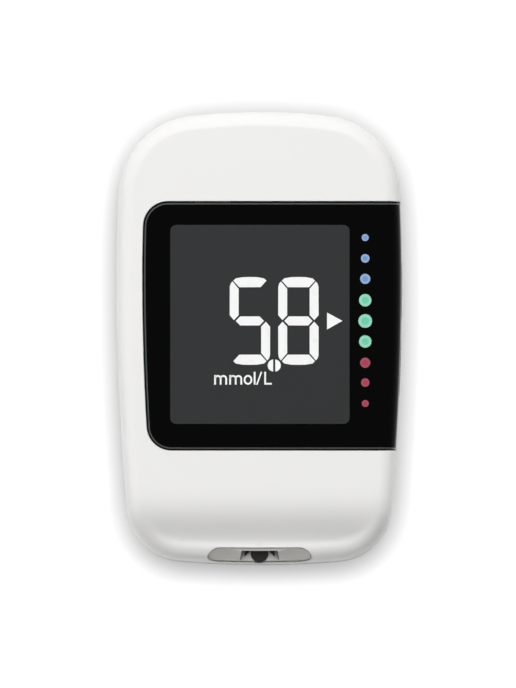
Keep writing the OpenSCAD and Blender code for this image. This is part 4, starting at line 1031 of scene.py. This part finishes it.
def mixed(tree, share, first, second):
    """Shader between a first (share 0) and a second (share 1)."""
    mix = tree.nodes.new("ShaderNodeMixShader")
    for socket, source in zip(mix.inputs, (share, first.outputs[0], second.outputs[0])):
        tree.links.new(source, socket)
    return mix


def ground():
    """A pale floor that is seen glowing to white away from the part, with a painted shadow where its glow
    dims near the part, and lights the part as a plain floor.
    """
    me = bpy.data.meshes.new("floor")
    corners = box_loop(-FLOOR_HALF, -FLOOR_HALF, FLOOR_HALF, FLOOR_HALF)
    me.from_pydata([(x, y, FLOOR_Z) for x, y in corners], [], [(0, 1, 2, 3)])
    mat, tree, seen = shader_of("floor", {"Base Color": FLOOR_SEEN, "Roughness": 0.9,
                                          "Specular IOR Level": 0.0, "Emission Color": (1, 1, 1, 1)})
    # painted shadow: the glow's strength follows how much of the part stands within reach of the floor
    near = node(tree, "AmbientOcclusion", {"Distance": PAINTED_SHADOW_WIDTH})
    near.samples = 16
    level = node(tree, "MapRange", {"To Max": FLOOR_GLOW}, Value=near.outputs["AO"])
    tree.links.new(level.outputs["Result"], seen.inputs["Emission Strength"])
    reach = node(tree, "VectorMath", Vector=node(tree, "TexCoord").outputs["Object"])
    reach.operation = "LENGTH"
    far = node(tree, "MapRange", zip(("From Min", "From Max"), FLOOR_FADE), Value=reach.outputs["Value"])
    seen_white = mixed(tree, far.outputs["Result"], seen, node(tree, "Emission"))
    lit = node(tree, "BsdfDiffuse", {"Color": FLOOR_LIT})
    floor = mixed(tree, background_rays(tree), lit, seen_white)
    tree.links.new(floor.outputs[0], tree.nodes["Material Output"].inputs["Surface"])
    me.materials.append(mat)
    obj = in_scene("floor", me)


def surroundings():
    """A room that lights the part mostly from low down and the near side, and is seen as plain white."""
    world = bpy.data.worlds.new("world")
    bpy.context.scene.world = world
    world.use_nodes = True
    tree = world.node_tree
    tree.nodes.clear()
    split = node(tree, "SeparateXYZ", Vector=node(tree, "TexCoord").outputs["Generated"]).outputs
    ramp = node(tree, "ValToRGB", Fac=split["Z"])
    stops = ramp.color_ramp.elements
    for _ in range(len(ROOM) - 2):
        stops.new(0.5)
    for stop, (height, level) in zip(stops, ROOM):
        stop.position, stop.color = height, (level, level, level, 1)
    away = node(tree, "MapRange", zip(("From Min", "From Max", "To Min", "To Max"), (-1, 1, *ROOM_NEAR_FAR)),
                Value=split["Y"])
    room = node(tree, "Background", Color=ramp.outputs["Color"], Strength=away.outputs["Result"])
    plain = node(tree, "Background", {"Color": (1, 1, 1, 1)})
    node(tree, "OutputWorld", Surface=mixed(tree, background_rays(tree), room, plain).outputs[0])


ground()
surroundings()
lamp("key", (0.0, KEY_FAR * math.cos(KEY_TILT), KEY_FAR * math.sin(KEY_TILT)), (2.4, 2.0), 111.0)
lamp("fill_left", (-1.2, 0.15, 0.35), (0.4, 0.8), 1.4)
lamp("fill_near", (-0.95, -0.75, 0.12), (0.4, 0.2), 2.3)

bpy.context.scene.view_settings.view_transform = "Standard"
# Camera: tilt, lens and sensor in mm, photo's width in px, its scale in px per mm, and what it looks at
TILT, LENS, SENSOR, PHOTO_W, SCALE = math.radians(89.5), 600.0, 36.0, 516, 5.915
AIM = Vector((-0.27, -1.0, 15.2)) * MM
distance = PHOTO_W / SCALE * MM * LENS / SENSOR
camera = bpy.data.cameras.new("camera")
camera.lens, camera.sensor_fit, camera.sensor_width = LENS, "HORIZONTAL", SENSOR
camera.clip_end = 20
eye = in_scene("camera", camera)
eye.location = AIM + Vector((0, -math.cos(TILT), math.sin(TILT))) * distance
eye.rotation_euler = (math.pi / 2 - TILT, 0, 0)
bpy.context.scene.camera = eye
